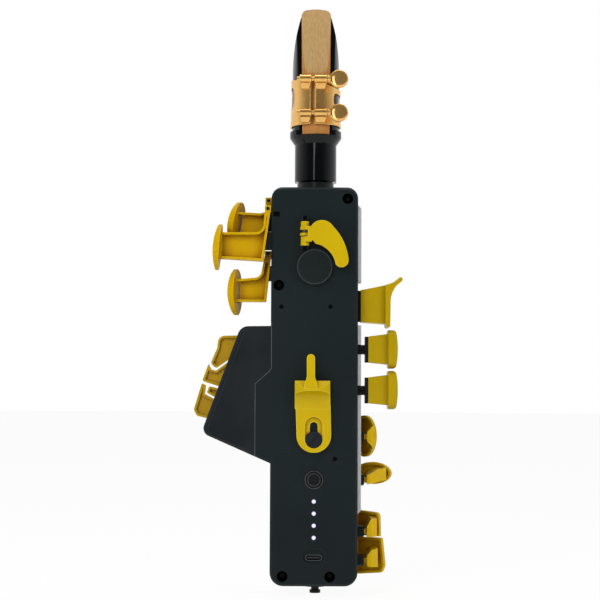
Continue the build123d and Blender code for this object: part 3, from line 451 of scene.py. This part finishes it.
# Reed: a flat-backed strip of cane, cut down to a thin tip. It keeps its yellow-brown bark at the heel and
# shows straight pale fibres where it is cut.
REED_X = 0.5
CUT_BOTTOM = 109.9
CUT_HALF_WIDTH = 6.95
CUT_CORNER = 8.0
CUT_SQUARENESS = 8.0
CUT_BLEND = 0.8
CANE_FIBRE = 0.35
BARK_STREAK = 2.5
FIBRE_STRETCH = 0.03
FIBRE_DEPTH = 0.02


def cane(name):
    """Cut cane: pale straight fibres along the reed, and darker shiny bark below the cut."""
    finish, surface = new_finish(name)
    place = add_node(finish, "ShaderNodeTexCoord").outputs["Object"]
    stretched = add_node(finish, "ShaderNodeMapping", {"Scale": (1.0, 1.0, FIBRE_STRETCH)}, {"Vector": place})
    fibre = add_node(finish, "ShaderNodeTexNoise", {"Scale": 1 / (CANE_FIBRE * MM), "Detail": 3.0},
                     {"Vector": stretched.outputs[0]})
    streak = add_node(finish, "ShaderNodeTexNoise", {"Scale": 1 / (BARK_STREAK * MM), "Detail": 1.0},
                      {"Vector": stretched.outputs[0]})
    strands = add_node(finish, "ShaderNodeMapRange", {"From Min": 0.3, "From Max": 0.7},
                       {"Value": fibre.outputs["Fac"]})
    cut = add_node(finish, "ShaderNodeMix",
                   {"data_type": "RGBA", COLOUR_A: hex_colour("98794e"), COLOUR_B: hex_colour("b29263")},
                   {FACTOR: strands.outputs[0]})
    bark = add_node(finish, "ShaderNodeMix",
                    {"data_type": "RGBA", COLOUR_A: hex_colour("96622c"), COLOUR_B: hex_colour("ad7a42")},
                    {FACTOR: streak.outputs["Fac"]})
    # The cut ends below in a U: its lower edge rises steeply near the sides of the reed
    spot = add_node(finish, "ShaderNodeSeparateXYZ", links={"Vector": place})
    aside = add_node(finish, "ShaderNodeMath", {"operation": "SUBTRACT", 1: REED_X * MM},
                     {0: spot.outputs["X"]})
    aside = add_node(finish, "ShaderNodeMath", {"operation": "ABSOLUTE"}, {0: aside.outputs[0]})
    aside = add_node(finish, "ShaderNodeMath", {"operation": "DIVIDE", 1: CUT_HALF_WIDTH * MM},
                     {0: aside.outputs[0]})
    rise = add_node(finish, "ShaderNodeMath", {"operation": "POWER", 1: CUT_SQUARENESS},
                    {0: aside.outputs[0]})
    rise = add_node(finish, "ShaderNodeMath", {"operation": "MULTIPLY", 1: CUT_CORNER * MM},
                    {0: rise.outputs[0]})
    above = add_node(finish, "ShaderNodeMath", {"operation": "SUBTRACT"},
                     {0: spot.outputs["Z"], 1: rise.outputs[0]})
    reach = add_node(finish, "ShaderNodeMapRange",
                     {"From Min": (CUT_BOTTOM - CUT_BLEND) * MM, "From Max": (CUT_BOTTOM + CUT_BLEND) * MM},
                     {"Value": above.outputs[0]})
    colour = add_node(finish, "ShaderNodeMix", {"data_type": "RGBA"},
                      {FACTOR: reach.outputs[0], COLOUR_A: bark.outputs[COLOUR_OUT],
                       COLOUR_B: cut.outputs[COLOUR_OUT]})
    bump = add_node(finish, "ShaderNodeBump", {"Strength": 1.0, "Distance": FIBRE_DEPTH * MM},
                    {"Height": fibre.outputs["Fac"]})
    shader = add_node(finish, "ShaderNodeBsdfPrincipled",
                      {"Roughness": 0.6, "IOR": 1.45, "Specular IOR Level": 0.2},
                      {"Base Color": colour.outputs[COLOUR_OUT], "Normal": bump.outputs[0]})
    finish.node_tree.links.new(shader.outputs[0], surface)
    return finish


dress("reed", cane("cut_reed_cane"), 0.2)

# Ligature: one sheet of brass, cut out, bent round the mouthpiece, soldered to two pairs of screw barrels
# on little wedges, then polished and lacquered. Its upper edge slopes down to the right.
PIECE_AXIS = (0.5, 22.0, 0.0)
BAND_ROWS = [(14.4, 80.6), (14.1, 82.2), (13.95, 91.2), (13.9, 100.8), (13.9, 102.6), (14.0, 104.2)]
BAND_START = -4.1
BAND_SWEEP = 353.0
BAND_STEPS = 22
BAND_THICK = 0.7
BAND_WINDOWS = [(44, 108), (252, 301)]
WINDOW_BOTTOM = 92
WINDOW_TOP = 100
BAND_SLOPE = 2.9
SLOPE_FROM = 91.2
SLOPE_HEIGHT = 13
SLOPE_RADIUS = 14
BARREL_HEIGHTS = (86.4, 105.4)
BARREL_Y = 5.0
BARREL_SPANS = [(-8.7, -2.2), (-0.5, 6.6)]
BARREL_BORE = 1.5
BARREL_RADIUS = 2.35
BARREL_RIM = 2.5
BARREL_END = 2.2
FOOT_INSET = 0.3
FOOT_Y = (BARREL_Y + 2.0, 8.5)
FOOT_BELOW = 1.8
FOOT_ABOVE = 1.5
WEDGE_Y = (BARREL_Y + 0.2, 8.6)
WEDGE_TOP_DROP = 1.5
WEDGE_DROP = 5.0
WEDGE_TIP_DROP = 3
WEDGE_TIP_Y = 7.6
WEDGE_TIP_INSET = 0.9
# Lacquered brass: a warm mirror with faint vertical drawing lines, softened by the haze of the lacquer
brass, surface = new_finish("polished_lacquered_brass")
lines = add_node(brass, "ShaderNodeMapping", {"Scale": (1.0, 1.0, 0.05)},
                 {"Vector": add_node(brass, "ShaderNodeTexCoord").outputs["Object"]})
drawn = add_node(brass, "ShaderNodeTexNoise", {"Scale": 1 / (0.6 * MM), "Detail": 2.0},
                 {"Vector": lines.outputs[0]})
tone = add_node(brass, "ShaderNodeMix",
                {"data_type": "RGBA", COLOUR_A: hex_colour("dda653"), COLOUR_B: hex_colour("efc27a")},
                {FACTOR: drawn.outputs["Fac"]})
bump = add_node(brass, "ShaderNodeBump", {"Strength": 1.0, "Distance": 0.004 * MM},
                {"Height": drawn.outputs["Fac"]})
shader = add_node(brass, "ShaderNodeBsdfPrincipled", {"Metallic": 0.85, "Roughness": 0.11},
                  {"Base Color": tone.outputs[COLOUR_OUT], "Normal": bump.outputs[0]})
brass.node_tree.links.new(shader.outputs[0], surface)


def way_round(face):
    """Degrees from the reed's side, towards the thumb screws' heads, at a face's middle."""
    middle = face.calc_center_median()
    return math.degrees(math.atan2(middle.x, -middle.y)) % 360


band = bmesh.new()
edge_points = [band.verts.new((0, -radius, height)) for radius, height in BAND_ROWS]
for first, second in zip(edge_points, edge_points[1:]):
    band.edges.new((first, second))
bmesh.ops.rotate(band, matrix=Matrix.Rotation(math.radians(BAND_START), 3, "Z"), verts=band.verts)
bmesh.ops.spin(band, geom=band.verts[:] + band.edges[:], cent=(0, 0, 0), axis=(0, 0, 1),
               angle=math.radians(BAND_SWEEP), steps=BAND_STEPS)
opened = [face for face in band.faces if WINDOW_BOTTOM < face.calc_center_median().z < WINDOW_TOP
          and any(low < way_round(face) < high for low, high in BAND_WINDOWS)]
bmesh.ops.delete(band, geom=opened, context="FACES")
for corner in band.verts:
    above = max(0.0, corner.co.z - SLOPE_FROM)
    corner.co.z -= BAND_SLOPE * above / SLOPE_HEIGHT * corner.co.x / SLOPE_RADIUS
bmesh.ops.recalc_face_normals(band, faces=band.faces)
bmesh.ops.translate(band, vec=PIECE_AXIS, verts=band.verts)
sheet = finished("ligature_band", band, brass, "mouthpiece", 60)
smooth = sheet.modifiers.new("smooth", "SUBSURF")
smooth.levels = smooth.render_levels = 2
wall = sheet.modifiers.new("wall", "SOLIDIFY")
wall.thickness = BAND_THICK * MM
wall.offset = 0.0
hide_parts("ligature")

fittings = []
for height in BARREL_HEIGHTS:
    for low, high in BARREL_SPANS:
        section = [(BARREL_BORE, low), (BARREL_END, low), (BARREL_RIM, low + 0.3), (BARREL_RIM, low + 0.9),
                   (BARREL_RADIUS, low + 1.1), (BARREL_RADIUS, high - 1.1), (BARREL_RIM, high - 0.9),
                   (BARREL_RIM, high - 0.3), (BARREL_END, high), (BARREL_BORE, high), (BARREL_BORE, low)]
        fittings.append(spun(section, (0, BARREL_Y, height), "X"))
        foot_x = (low + FOOT_INSET, high - FOOT_INSET)
        fittings.append(solid_block(foot_x, FOOT_Y, (height - FOOT_BELOW, height + FOOT_ABOVE)))
        wedge = solid_block(foot_x, WEDGE_Y, (height - WEDGE_DROP, height - WEDGE_TOP_DROP))
        for corner in wedge.verts:
            if corner.co.z < height - WEDGE_TIP_DROP:
                corner.co.y = max(corner.co.y, WEDGE_TIP_Y)
                corner.co.x += WEDGE_TIP_INSET if corner.co.x < (low + high) / 2 else -WEDGE_TIP_INSET
        fittings.append(wedge)
finished("ligature_barrels", joined(fittings), brass, "mouthpiece", 35, 0.2)

# Thumb screws: two brass rods turned down to a thread, each with a flattened, slightly domed head on a
# wedge neck. They pass through the barrels and draw the ligature tight.
HEAD_X = 13.2
HEAD_SECTION = [(0, -1.2), (2.5, -1.14), (4.0, -1.02), (4.75, -0.85), (5.12, -0.5), (5.2, 0), (5.12, 0.5),
                (4.75, 0.85), (4.0, 1.02), (2.5, 1.14), (0, 1.2)]
SHANK_SECTION = [(0, -10.3), (1.0, -10.3), (1.32, -9.9), (1.32, 6.75), (1.9, 6.75), (2.1, 6.95), (2.1, 7.5),
                 (1.8, 7.8), (1.5, 8.6), (0, 8.6)]
NECK_X = (7.0, 12.0)
NECK_Y = (BARREL_Y - 0.85, BARREL_Y + 0.85)
NECK_REACH = 4.95
NECK_NARROWING = 0.3
for place, height in zip(("lower", "upper"), BARREL_HEIGHTS):
    neck = solid_block(NECK_X, NECK_Y, (height - NECK_REACH, height + NECK_REACH))
    for corner in neck.verts:
        if corner.co.x < sum(NECK_X) / 2:
            corner.co.z = height + (corner.co.z - height) * NECK_NARROWING
    bmesh.ops.bevel(neck, geom=neck.edges[:], offset=0.45, offset_type="OFFSET", affect="EDGES", segments=2,
                    profile=0.5, material=-1)
    head = spun(HEAD_SECTION, (HEAD_X, BARREL_Y, height), steps=48)
    shank = spun(SHANK_SECTION, (0, BARREL_Y, height), "X")
    screw = finished(place + "_thumb_screw", joined([head, neck, shank]), brass, "ligature_screw_" + place,
                     50)
    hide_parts("ligature_screw_" + place)

# Thumb rest: a round disc of the housing's ABS with a rounded rim, pressed into the back. The left thumb
# lies on it; a thin paler ring at the edge of its face is painted highlight.
RIM_HIGHLIGHT_RADIUS = 9.35
RIM_FADE = 0.26
RIM_CORE = 0.08
# Satin ABS, a little darker and smoother than the shells
rest_plastic = moulded_plastic("satin_abs_thumb_rest", "0e1617", "121a1b", 0.38, 0.16)
shader = rest_plastic.node_tree.nodes["Principled BSDF"]
# A thin paler ring at the rim's radius: painted highlight
across = add_node(rest_plastic, "ShaderNodeVectorMath", {"operation": "MULTIPLY", 1: (1.0, 0.0, 1.0)},
                  {0: add_node(rest_plastic, "ShaderNodeTexCoord").outputs["Object"]})
reach = add_node(rest_plastic, "ShaderNodeVectorMath", {"operation": "LENGTH"}, {0: across.outputs[0]})
apart = add_node(rest_plastic, "ShaderNodeMath", {"operation": "SUBTRACT", 1: RIM_HIGHLIGHT_RADIUS * MM},
                 {0: reach.outputs["Value"]})
apart = add_node(rest_plastic, "ShaderNodeMath", {"operation": "ABSOLUTE"}, {0: apart.outputs[0]})
rim_highlight = add_node(rest_plastic, "ShaderNodeMapRange", {"From Min": RIM_FADE * MM, "From Max": RIM_CORE * MM},
                {"Value": apart.outputs[0]})
tint = add_node(rest_plastic, "ShaderNodeMix", {"data_type": "RGBA", COLOUR_B: hex_colour("363e3e")},
                {FACTOR: rim_highlight.outputs[0], COLOUR_A: shader.inputs["Base Color"].links[0].from_socket})
rest_plastic.node_tree.links.new(tint.outputs[COLOUR_OUT], shader.inputs["Base Color"])
dress("thumb_rest", rest_plastic, 0.6, 4)

# Octave key: a kidney-shaped lever of glossy yellow ABS on an upright steel pin. Two round ribs of the key
# wrap the pin, black caps close its ends, and a wound spring between the ribs holds the key up.
OCTAVE_PIN = (-5.4, 0.2, 0.0)
RIB_SPANS = [(16.9, 18.6), (20.3, 22.1)]
RIB_BORE = 2.0
RIB_SIDE = 2.55
RIB_RADIUS = 2.75
RIB_CORNER = 0.25
RIB_ARM_X = (-5.0, -1.6)
RIB_ARM_Y = (-2.45, -1.7)
CAP_X = (-6.45, -4.35)
CAP_Y = (-2.0, 2.9)
CAP_SPANS = [(25.15, 27.85), (9.6, 11.25)]
SPRING_WIRE = 0.23
SPRING_RADIUS = 1.45
SPRING_START = 17.0
SPRING_LENGTH = 2.4
SPRING_TURNS = 5
SPRING_STEPS = 20 * SPRING_TURNS
SPRING_LEG = (-6.9, 0, 17.2)
# Painted highlight on edges and painted shade in pockets of the yellow plastics
EDGE_HIGHLIGHT_BEND = (0.985, 0.86)
POCKET_SHADE_AO = (0.75, 0.3)
FEW_SAMPLES = 6


def painted_edge_light_and_pocket_shade(finish, highlight_code, pocket_shade_code, edge_mm=0.5, pocket_mm=7.0):
    """Paints highlight on edges, paler over so many millimetres, and paints shade in pockets, where the
    colour deepens.
    """
    shader = finish.node_tree.nodes["Principled BSDF"]
    base = shader.inputs["Base Color"].links[0].from_socket
    rounded = add_node(finish, "ShaderNodeBevel", {"samples": FEW_SAMPLES, "Radius": edge_mm * MM})
    flat = add_node(finish, "ShaderNodeNewGeometry").outputs["True Normal"]
    along = add_node(finish, "ShaderNodeVectorMath", {"operation": "DOT_PRODUCT"},
                     {0: rounded.outputs[0], 1: flat})
    edge_highlight = add_node(finish, "ShaderNodeMapRange", {"From Min": EDGE_HIGHLIGHT_BEND[0], "From Max": EDGE_HIGHLIGHT_BEND[1]},
                      {"Value": along.outputs["Value"]})
    hollow = add_node(finish, "ShaderNodeAmbientOcclusion",
                      {"samples": FEW_SAMPLES, "Distance": pocket_mm * MM})
    pocket_shade = add_node(finish, "ShaderNodeMapRange", {"From Min": POCKET_SHADE_AO[0], "From Max": POCKET_SHADE_AO[1]},
                    {"Value": hollow.outputs["AO"]})
    tone = add_node(finish, "ShaderNodeMix", {"data_type": "RGBA", COLOUR_B: hex_colour(pocket_shade_code)},
                    {FACTOR: pocket_shade.outputs[0], COLOUR_A: base})
    tone = add_node(finish, "ShaderNodeMix", {"data_type": "RGBA", COLOUR_B: hex_colour(highlight_code)},
                    {FACTOR: edge_highlight.outputs[0], COLOUR_A: tone.outputs[COLOUR_OUT]})
    finish.node_tree.links.new(tone.outputs[COLOUR_OUT], shader.inputs["Base Color"])


# Glossy yellow ABS: deep warm yellow with clean narrow highlights on its rounded edges, helped by paler
# painted highlight on the edges and deeper painted shade in the pockets
yellow = moulded_plastic("glossy_abs_yellow", "b49800", "bc9f02", 0.22, 0.16)
painted_edge_light_and_pocket_shade(yellow, "d8cc30", "a07000")
dress("octave_key", yellow, 0.7, 3)
ribs = []
for low, high in RIB_SPANS:
    section = [(RIB_BORE, low), (RIB_SIDE, low), (RIB_RADIUS, low + RIB_CORNER),
               (RIB_RADIUS, high - RIB_CORNER), (RIB_SIDE, high), (RIB_BORE, high), (RIB_BORE, low)]
    ribs.append(spun(section, OCTAVE_PIN, "Z", 40))
    ribs.append(solid_block(RIB_ARM_X, RIB_ARM_Y, (low + 0.1, high - 0.1)))
finished("octave_key_ribs", joined(ribs), yellow, "octave_key", 50, 0.15)
caps = [solid_block(CAP_X, CAP_Y, span) for span in CAP_SPANS]
finished("octave_pin_caps", joined(caps), black_abs_and_hole_shade, "housing", bevel_mm=0.2)
# Turned steel of the pins and rods: bright, with fine rings
steel = worked_steel("turned_steel", "7c7e82", "94969a", 0.3, 0.25)
dress("octave_hinge_pin", steel)
coil = bmesh.new()
bmesh.ops.create_circle(coil, cap_ends=True, segments=8, radius=SPRING_WIRE)
bmesh.ops.rotate(coil, matrix=FACING_BACK, verts=coil.verts)
bmesh.ops.translate(coil, vec=(OCTAVE_PIN[0] + SPRING_RADIUS, OCTAVE_PIN[1], SPRING_START), verts=coil.verts)
bmesh.ops.spin(coil, geom=coil.faces[:], cent=OCTAVE_PIN, axis=(0, 0, 1),
               dvec=(0, 0, SPRING_LENGTH / SPRING_STEPS), angle=math.tau * SPRING_TURNS, steps=SPRING_STEPS)
bmesh.ops.recalc_face_normals(coil, faces=coil.faces)
leg = spun([(0, 0.1), (SPRING_WIRE, 0.1), (SPRING_WIRE, 3.0), (0, 3.0)], SPRING_LEG, steps=8)
spring = finished("octave_spring_coil", joined([coil, leg]), steel, "housing")
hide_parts("octave_spring")

# Thumb hook: a yellow ABS moulding with a strap tongue above and a shelf for the right thumb below. One
# large slotted screw clamps it through a long slot, and the screw stands as it was last tightened.
HOOK_SCREW = (-0.15, -94.65)
HOOK_HEAD_RADIUS = 4.55
HOOK_HEAD_Y = 1.75
HEAD_STEP = 0.7
SLOT_HALF = 0.5
SLOT_ANGLE = -45
HOOK_SHANK = [(0, 1.7), (1.9, 1.7), (1.9, 5.5), (0, 5.5)]
dress("thumb_hook", yellow, 0.6, 3)
# Blued steel of the screw: dark blue-grey, satin
blued_steel = worked_steel("blued_steel", "26292d", "32363b", 0.35, 3.0)
head = bmesh.new()
bmesh.ops.create_circle(head, cap_ends=True, segments=48, radius=HOOK_HEAD_RADIUS)
lift(head, head.faces[:], HEAD_STEP)
for side in (-1, 1):
    bmesh.ops.bisect_plane(head, geom=head.verts[:] + head.edges[:] + head.faces[:], dist=0.0001,
                           plane_co=(side * SLOT_HALF, 0, 0), plane_no=(1, 0, 0))
for side in (-1, 1):
    middles = [(face, face.calc_center_median()) for face in head.faces]
    land = [face for face, middle in middles if middle.z > HEAD_STEP * 0.9 and middle.x * side > SLOT_HALF]
    lift(head, land, HEAD_STEP)
    bmesh.ops.delete(head, geom=[face for face in land if face.is_valid], context="FACES_ONLY")
bmesh.ops.recalc_face_normals(head, faces=head.faces)
bmesh.ops.rotate(head, matrix=Matrix.Rotation(math.radians(SLOT_ANGLE), 3, "Z"), verts=head.verts)
bmesh.ops.rotate(head, matrix=FACING_BACK, verts=head.verts)
bmesh.ops.translate(head, vec=(HOOK_SCREW[0], HOOK_HEAD_Y, HOOK_SCREW[1]), verts=head.verts)
shank = spun(HOOK_SHANK, (HOOK_SCREW[0], 0, HOOK_SCREW[1]))
screw = finished("hook_clamp_screw", joined([head, shank]), blued_steel, "housing", 35, 0.18)
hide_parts("thumb_hook_screw")

# Palm keys: three channel-section levers of the yellow ABS with oval pads, each with a black foot that
# reaches through the wall of the housing.
# Satin black ABS of the small inner parts: dark, slightly blue
black = moulded_plastic("satin_abs_black", "06080a", "0a0c0e", 0.4, 0.2)
# The same yellow ABS with a satin skin, its colour made deeper and warmer as painted shade, with hardly any
# highlight; paler painted highlight on the edges and painted shade in the pockets
palm_shaded_yellow = moulded_plastic("satin_abs_yellow_painted_shade", "b68e00", "be9600", 0.4, 0.07)
painted_edge_light_and_pocket_shade(palm_shaded_yellow, "ccb010", "905000", 0.6)
for key in ("upper", "middle", "lower"):
    dress("palm_key_" + key, palm_shaded_yellow, 0.4)
    dress("palm_foot_" + key, black, 0.2)

# Table keys: four plates with a skirt round their edge, each moulded in one piece and clipped on one
# steel rod in front of the wing.
# The same yellow ABS made darkest, ochre, as painted shade, still clean and glossy; with painted highlight on
# the edges and painted shade in the pockets
table_shaded_yellow = moulded_plastic("glossy_abs_yellow_painted_deep_shade", "aa8400", "b28c00", 0.28, 0.14)
painted_edge_light_and_pocket_shade(table_shaded_yellow, "c09e00", "8c5600", 0.6, 4.0)
for key in ("g_sharp_key", "c_sharp_key", "low_b_key", "low_b_flat_key"):
    dress(key, table_shaded_yellow, 0.4)
dress("table_key_rod", steel)

# Side keys: three broad yellow mouldings for the side of the right hand, each pushed on the end of a
# black plunger that slides in the right wall.
# The same yellow ABS made duller as painted shade, with the same gloss; with painted highlight on the edges
# and painted shade in the pockets
side_shaded_yellow = moulded_plastic("glossy_abs_yellow_painted_side_shade", "9e8400", "a68a00", 0.25, 0.14)
painted_edge_light_and_pocket_shade(side_shaded_yellow, "bca208", "805400", 0.6)
for key in ("side_e", "side_c", "side_b_flat"):
    dress(key + "_key", side_shaded_yellow, 0.5, 3)
    dress(key + "_plunger", black, 0.2)

# Edge keys: the oval high F sharp and trill keys and the two low keys, hollow-backed yellow mouldings on
# square black plungers.
# The same yellow ABS made brightest as painted light, glossy; brownish orange painted shade in the hollows
# stands for light that bounces there
edge_lit_yellow = moulded_plastic("glossy_abs_yellow_painted_light", "c8a200", "d0aa00", 0.28, 0.1)
painted_edge_light_and_pocket_shade(edge_lit_yellow, "dcc41c", "a45a00", 0.6, 9.0)
for key in ("high_f_sharp", "trill", "low_e_flat", "low_c"):
    dress(key + "_key", edge_lit_yellow, 0.35)
    dress(key + "_plunger", black, 0.3)

# Stack keys: eight round touches of the yellow ABS with a dished face, moulded on square stems that slide
# through the front of the housing. Each has a height on the housing and a radius.
STACK_KEYS = [("front_f", 26.0, 6.0), ("b", 7.0, 7.5), ("bis", -5.0, 3.8), ("a", -17.0, 7.5),
              ("g", -38.0, 7.5), ("f", -76.0, 7.5), ("e", -97.0, 7.5), ("d", -118.0, 7.5)]
STEM_X = (-2.2, 2.2)
STEM_Y = (34.7, 45.2)
for key, height, radius in STACK_KEYS:
    dish = [(0, 45.0), (radius - 0.8, 45.0), (radius - 0.2, 45.3), (radius, 45.9), (radius, 47.2),
            (radius - 0.2, 47.8), (radius - 0.7, 48.15), (radius - 1.2, 48.1), (radius - 1.8, 47.7),
            (radius * 0.5, 47.15), (0, 46.95)]
    stem = solid_block(STEM_X, STEM_Y, (height + STEM_X[0], height + STEM_X[1]))
    touch = finished(key + "_touch", joined([spun(dish, (0, 0, height), steps=64), stem]), yellow,
                     key + "_key", 50)
    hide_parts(key + "_key")

# Power button: a round black cap in a ringed bezel that is pressed into the back, with a small raised
# drop above it for the finger to find.
BUTTON_PLACE = (0.0, 0.0, -116.7)
BEZEL = [(5.45, 3.02), (5.3, 2.84), (5.0, 2.78), (4.75, 2.8), (4.55, 2.94), (3.7, 2.94), (3.5, 2.82),
         (3.3, 2.82), (3.22, 3.02), (5.45, 3.02)]
CAP_RING = [(2.25, 2.22), (2.15, 2.06), (1.9, 2.06), (1.8, 2.22), (2.25, 2.22)]
CREST_RADII = (4.85, 3.3)
CREST_HALF = 0.13
DROP_SIZE = (0.8, 0.4, 0.8)
DROP_PLACE = (0.0, BACK_Y, -110.2)
dress("power_button", black, 0.3, 3)
finished("button_bezel", spun(BEZEL, BUTTON_PLACE, steps=64), black, "housing")
finished("button_cap_ring", spun(CAP_RING, BUTTON_PLACE, steps=48), black, "power_button")
# The crests of the rings carry thin paler lines of painted highlight
crests = [spun([(radius - CREST_HALF, 2.8), (radius, 2.7), (radius + CREST_HALF, 2.8), (radius, 2.95),
                (radius - CREST_HALF, 2.8)], BUTTON_PLACE, steps=64) for radius in CREST_RADII]
finished("button_crest_lines", joined(crests), edge_highlight_abs, "housing")
drop = bmesh.new()
bmesh.ops.create_uvsphere(drop, u_segments=24, v_segments=16, radius=1.0)
bmesh.ops.scale(drop, vec=DROP_SIZE, verts=drop.verts)
bmesh.ops.translate(drop, vec=DROP_PLACE, verts=drop.verts)
finished("button_finger_drop", drop, housing_plastic, "housing")

# Lamps: four clear acrylic light pipes in a row, pressed into the back from inside and lit white by the
# main board, with a violet fringe at their rims.
LAMP_Z = -128.5
LAMP_STEP = 6.55
FRINGE_START = 0.85
FRINGE_END = 1.15
# Clear acrylic lit from behind: it shows as plain light, white in the middle and violet where it bends
acrylic, surface = new_finish("lit_clear_acrylic")
place = add_node(acrylic, "ShaderNodeSeparateXYZ",
                 links={"Vector": add_node(acrylic, "ShaderNodeTexCoord").outputs["Object"]})
below = add_node(acrylic, "ShaderNodeMath", {"operation": "SUBTRACT", 0: LAMP_Z * MM},
                 {1: place.outputs["Z"]})
nearest = add_node(acrylic, "ShaderNodeMath", {"operation": "PINGPONG", 1: LAMP_STEP / 2 * MM},
                   {0: below.outputs[0]})
flat = add_node(acrylic, "ShaderNodeCombineXYZ", links={"X": place.outputs["X"], "Y": nearest.outputs[0]})
reach = add_node(acrylic, "ShaderNodeVectorMath", {"operation": "LENGTH"}, {0: flat.outputs[0]})
fringe = add_node(acrylic, "ShaderNodeMapRange", {"From Min": FRINGE_START * MM, "From Max": FRINGE_END * MM},
                  {"Value": reach.outputs["Value"]})
colour = add_node(acrylic, "ShaderNodeMix",
                  {"data_type": "RGBA", COLOUR_A: hex_colour("fbf9ff"), COLOUR_B: hex_colour("8f83d0")},
                  {FACTOR: fringe.outputs[0]})
shader = add_node(acrylic, "ShaderNodeEmission", {"Strength": 1.0}, {"Color": colour.outputs[COLOUR_OUT]})
acrylic.node_tree.links.new(shader.outputs[0], surface)
dress("light_pipes", acrylic)

# USB-C socket: a drawn steel shell with a black tongue, soldered to the main board at the bottom of a
# rounded recess in the back. Thin paler lines round the edges of both are painted highlight.
# Dull drawn steel: dark grey, with fine marks from the drawing
dark_steel = worked_steel("dull_drawn_steel", "3c3e42", "4a4c50", 0.4, 0.4)
dress("usb_socket", dark_steel, 0.1)


def flat_ring(width, height, corner, line, centre, y, thick):
    """Rounded rectangular ring so many millimetres wide in line, lying flat with its front face at y."""
    ring = bmesh.new()
    bmesh.ops.create_grid(ring, x_segments=1, y_segments=1, size=0.5)
    bmesh.ops.scale(ring, vec=(width, height, 1), verts=ring.verts)
    bmesh.ops.bevel(ring, geom=ring.verts[:], offset=corner, offset_type="OFFSET", affect="VERTICES",
                    segments=8, profile=0.5, material=-1)
    middle = ring.faces[:]
    bmesh.ops.inset_region(ring, faces=middle, thickness=line, use_boundary=True, use_even_offset=True)
    bmesh.ops.delete(ring, geom=middle, context="FACES")
    lift(ring, ring.faces[:], thick, keep=True)
    bmesh.ops.recalc_face_normals(ring, faces=ring.faces)
    bmesh.ops.rotate(ring, matrix=FACING_BACK, verts=ring.verts)
    bmesh.ops.translate(ring, vec=(centre[0], y + thick, centre[1]), verts=ring.verts)
    return ring


# Thin paler rings at the recess's edge and the socket's mouth: painted highlight
recess_ring = flat_ring(12.5, 8.1, corner=3.6, line=0.16, centre=(0, -158.2), y=2.95, thick=0.12)
finished("usb_recess_line", recess_ring, step_highlight_abs, "housing")
mouth_ring = flat_ring(8.9, 3.1, corner=1.5, line=0.2, centre=(0, -159.0), y=4.1, thick=0.15)
finished("usb_mouth_line", mouth_ring, edge_highlight_abs, "housing")

# Drain plug: a black ABS moulding pushed into the foot of the housing, which is pulled out to let the
# moisture of the player's breath run off.
dress("drain_plug", black, 0.3)

# Electronics inside: the main board, the key board, the battery and the push switches under the keys,
# held between the shells and out of sight.
# Green solder mask: dark, glossy lacquer over copper
solder_mask = moulded_plastic("green_solder_mask", "124a2c", "1a5a36", 0.3, 0.5, 8.0)
dress("circuit_board", solder_mask)
dress("key_board", solder_mask)
# Aluminium foil pouch of the battery: soft grey, slightly crumpled
dress("battery", moulded_plastic("pouch_foil", "8c9096", "a4a8ae", 0.3, 0.6, 10.0, 4.0, 0.2))
dress("key_switches", black)
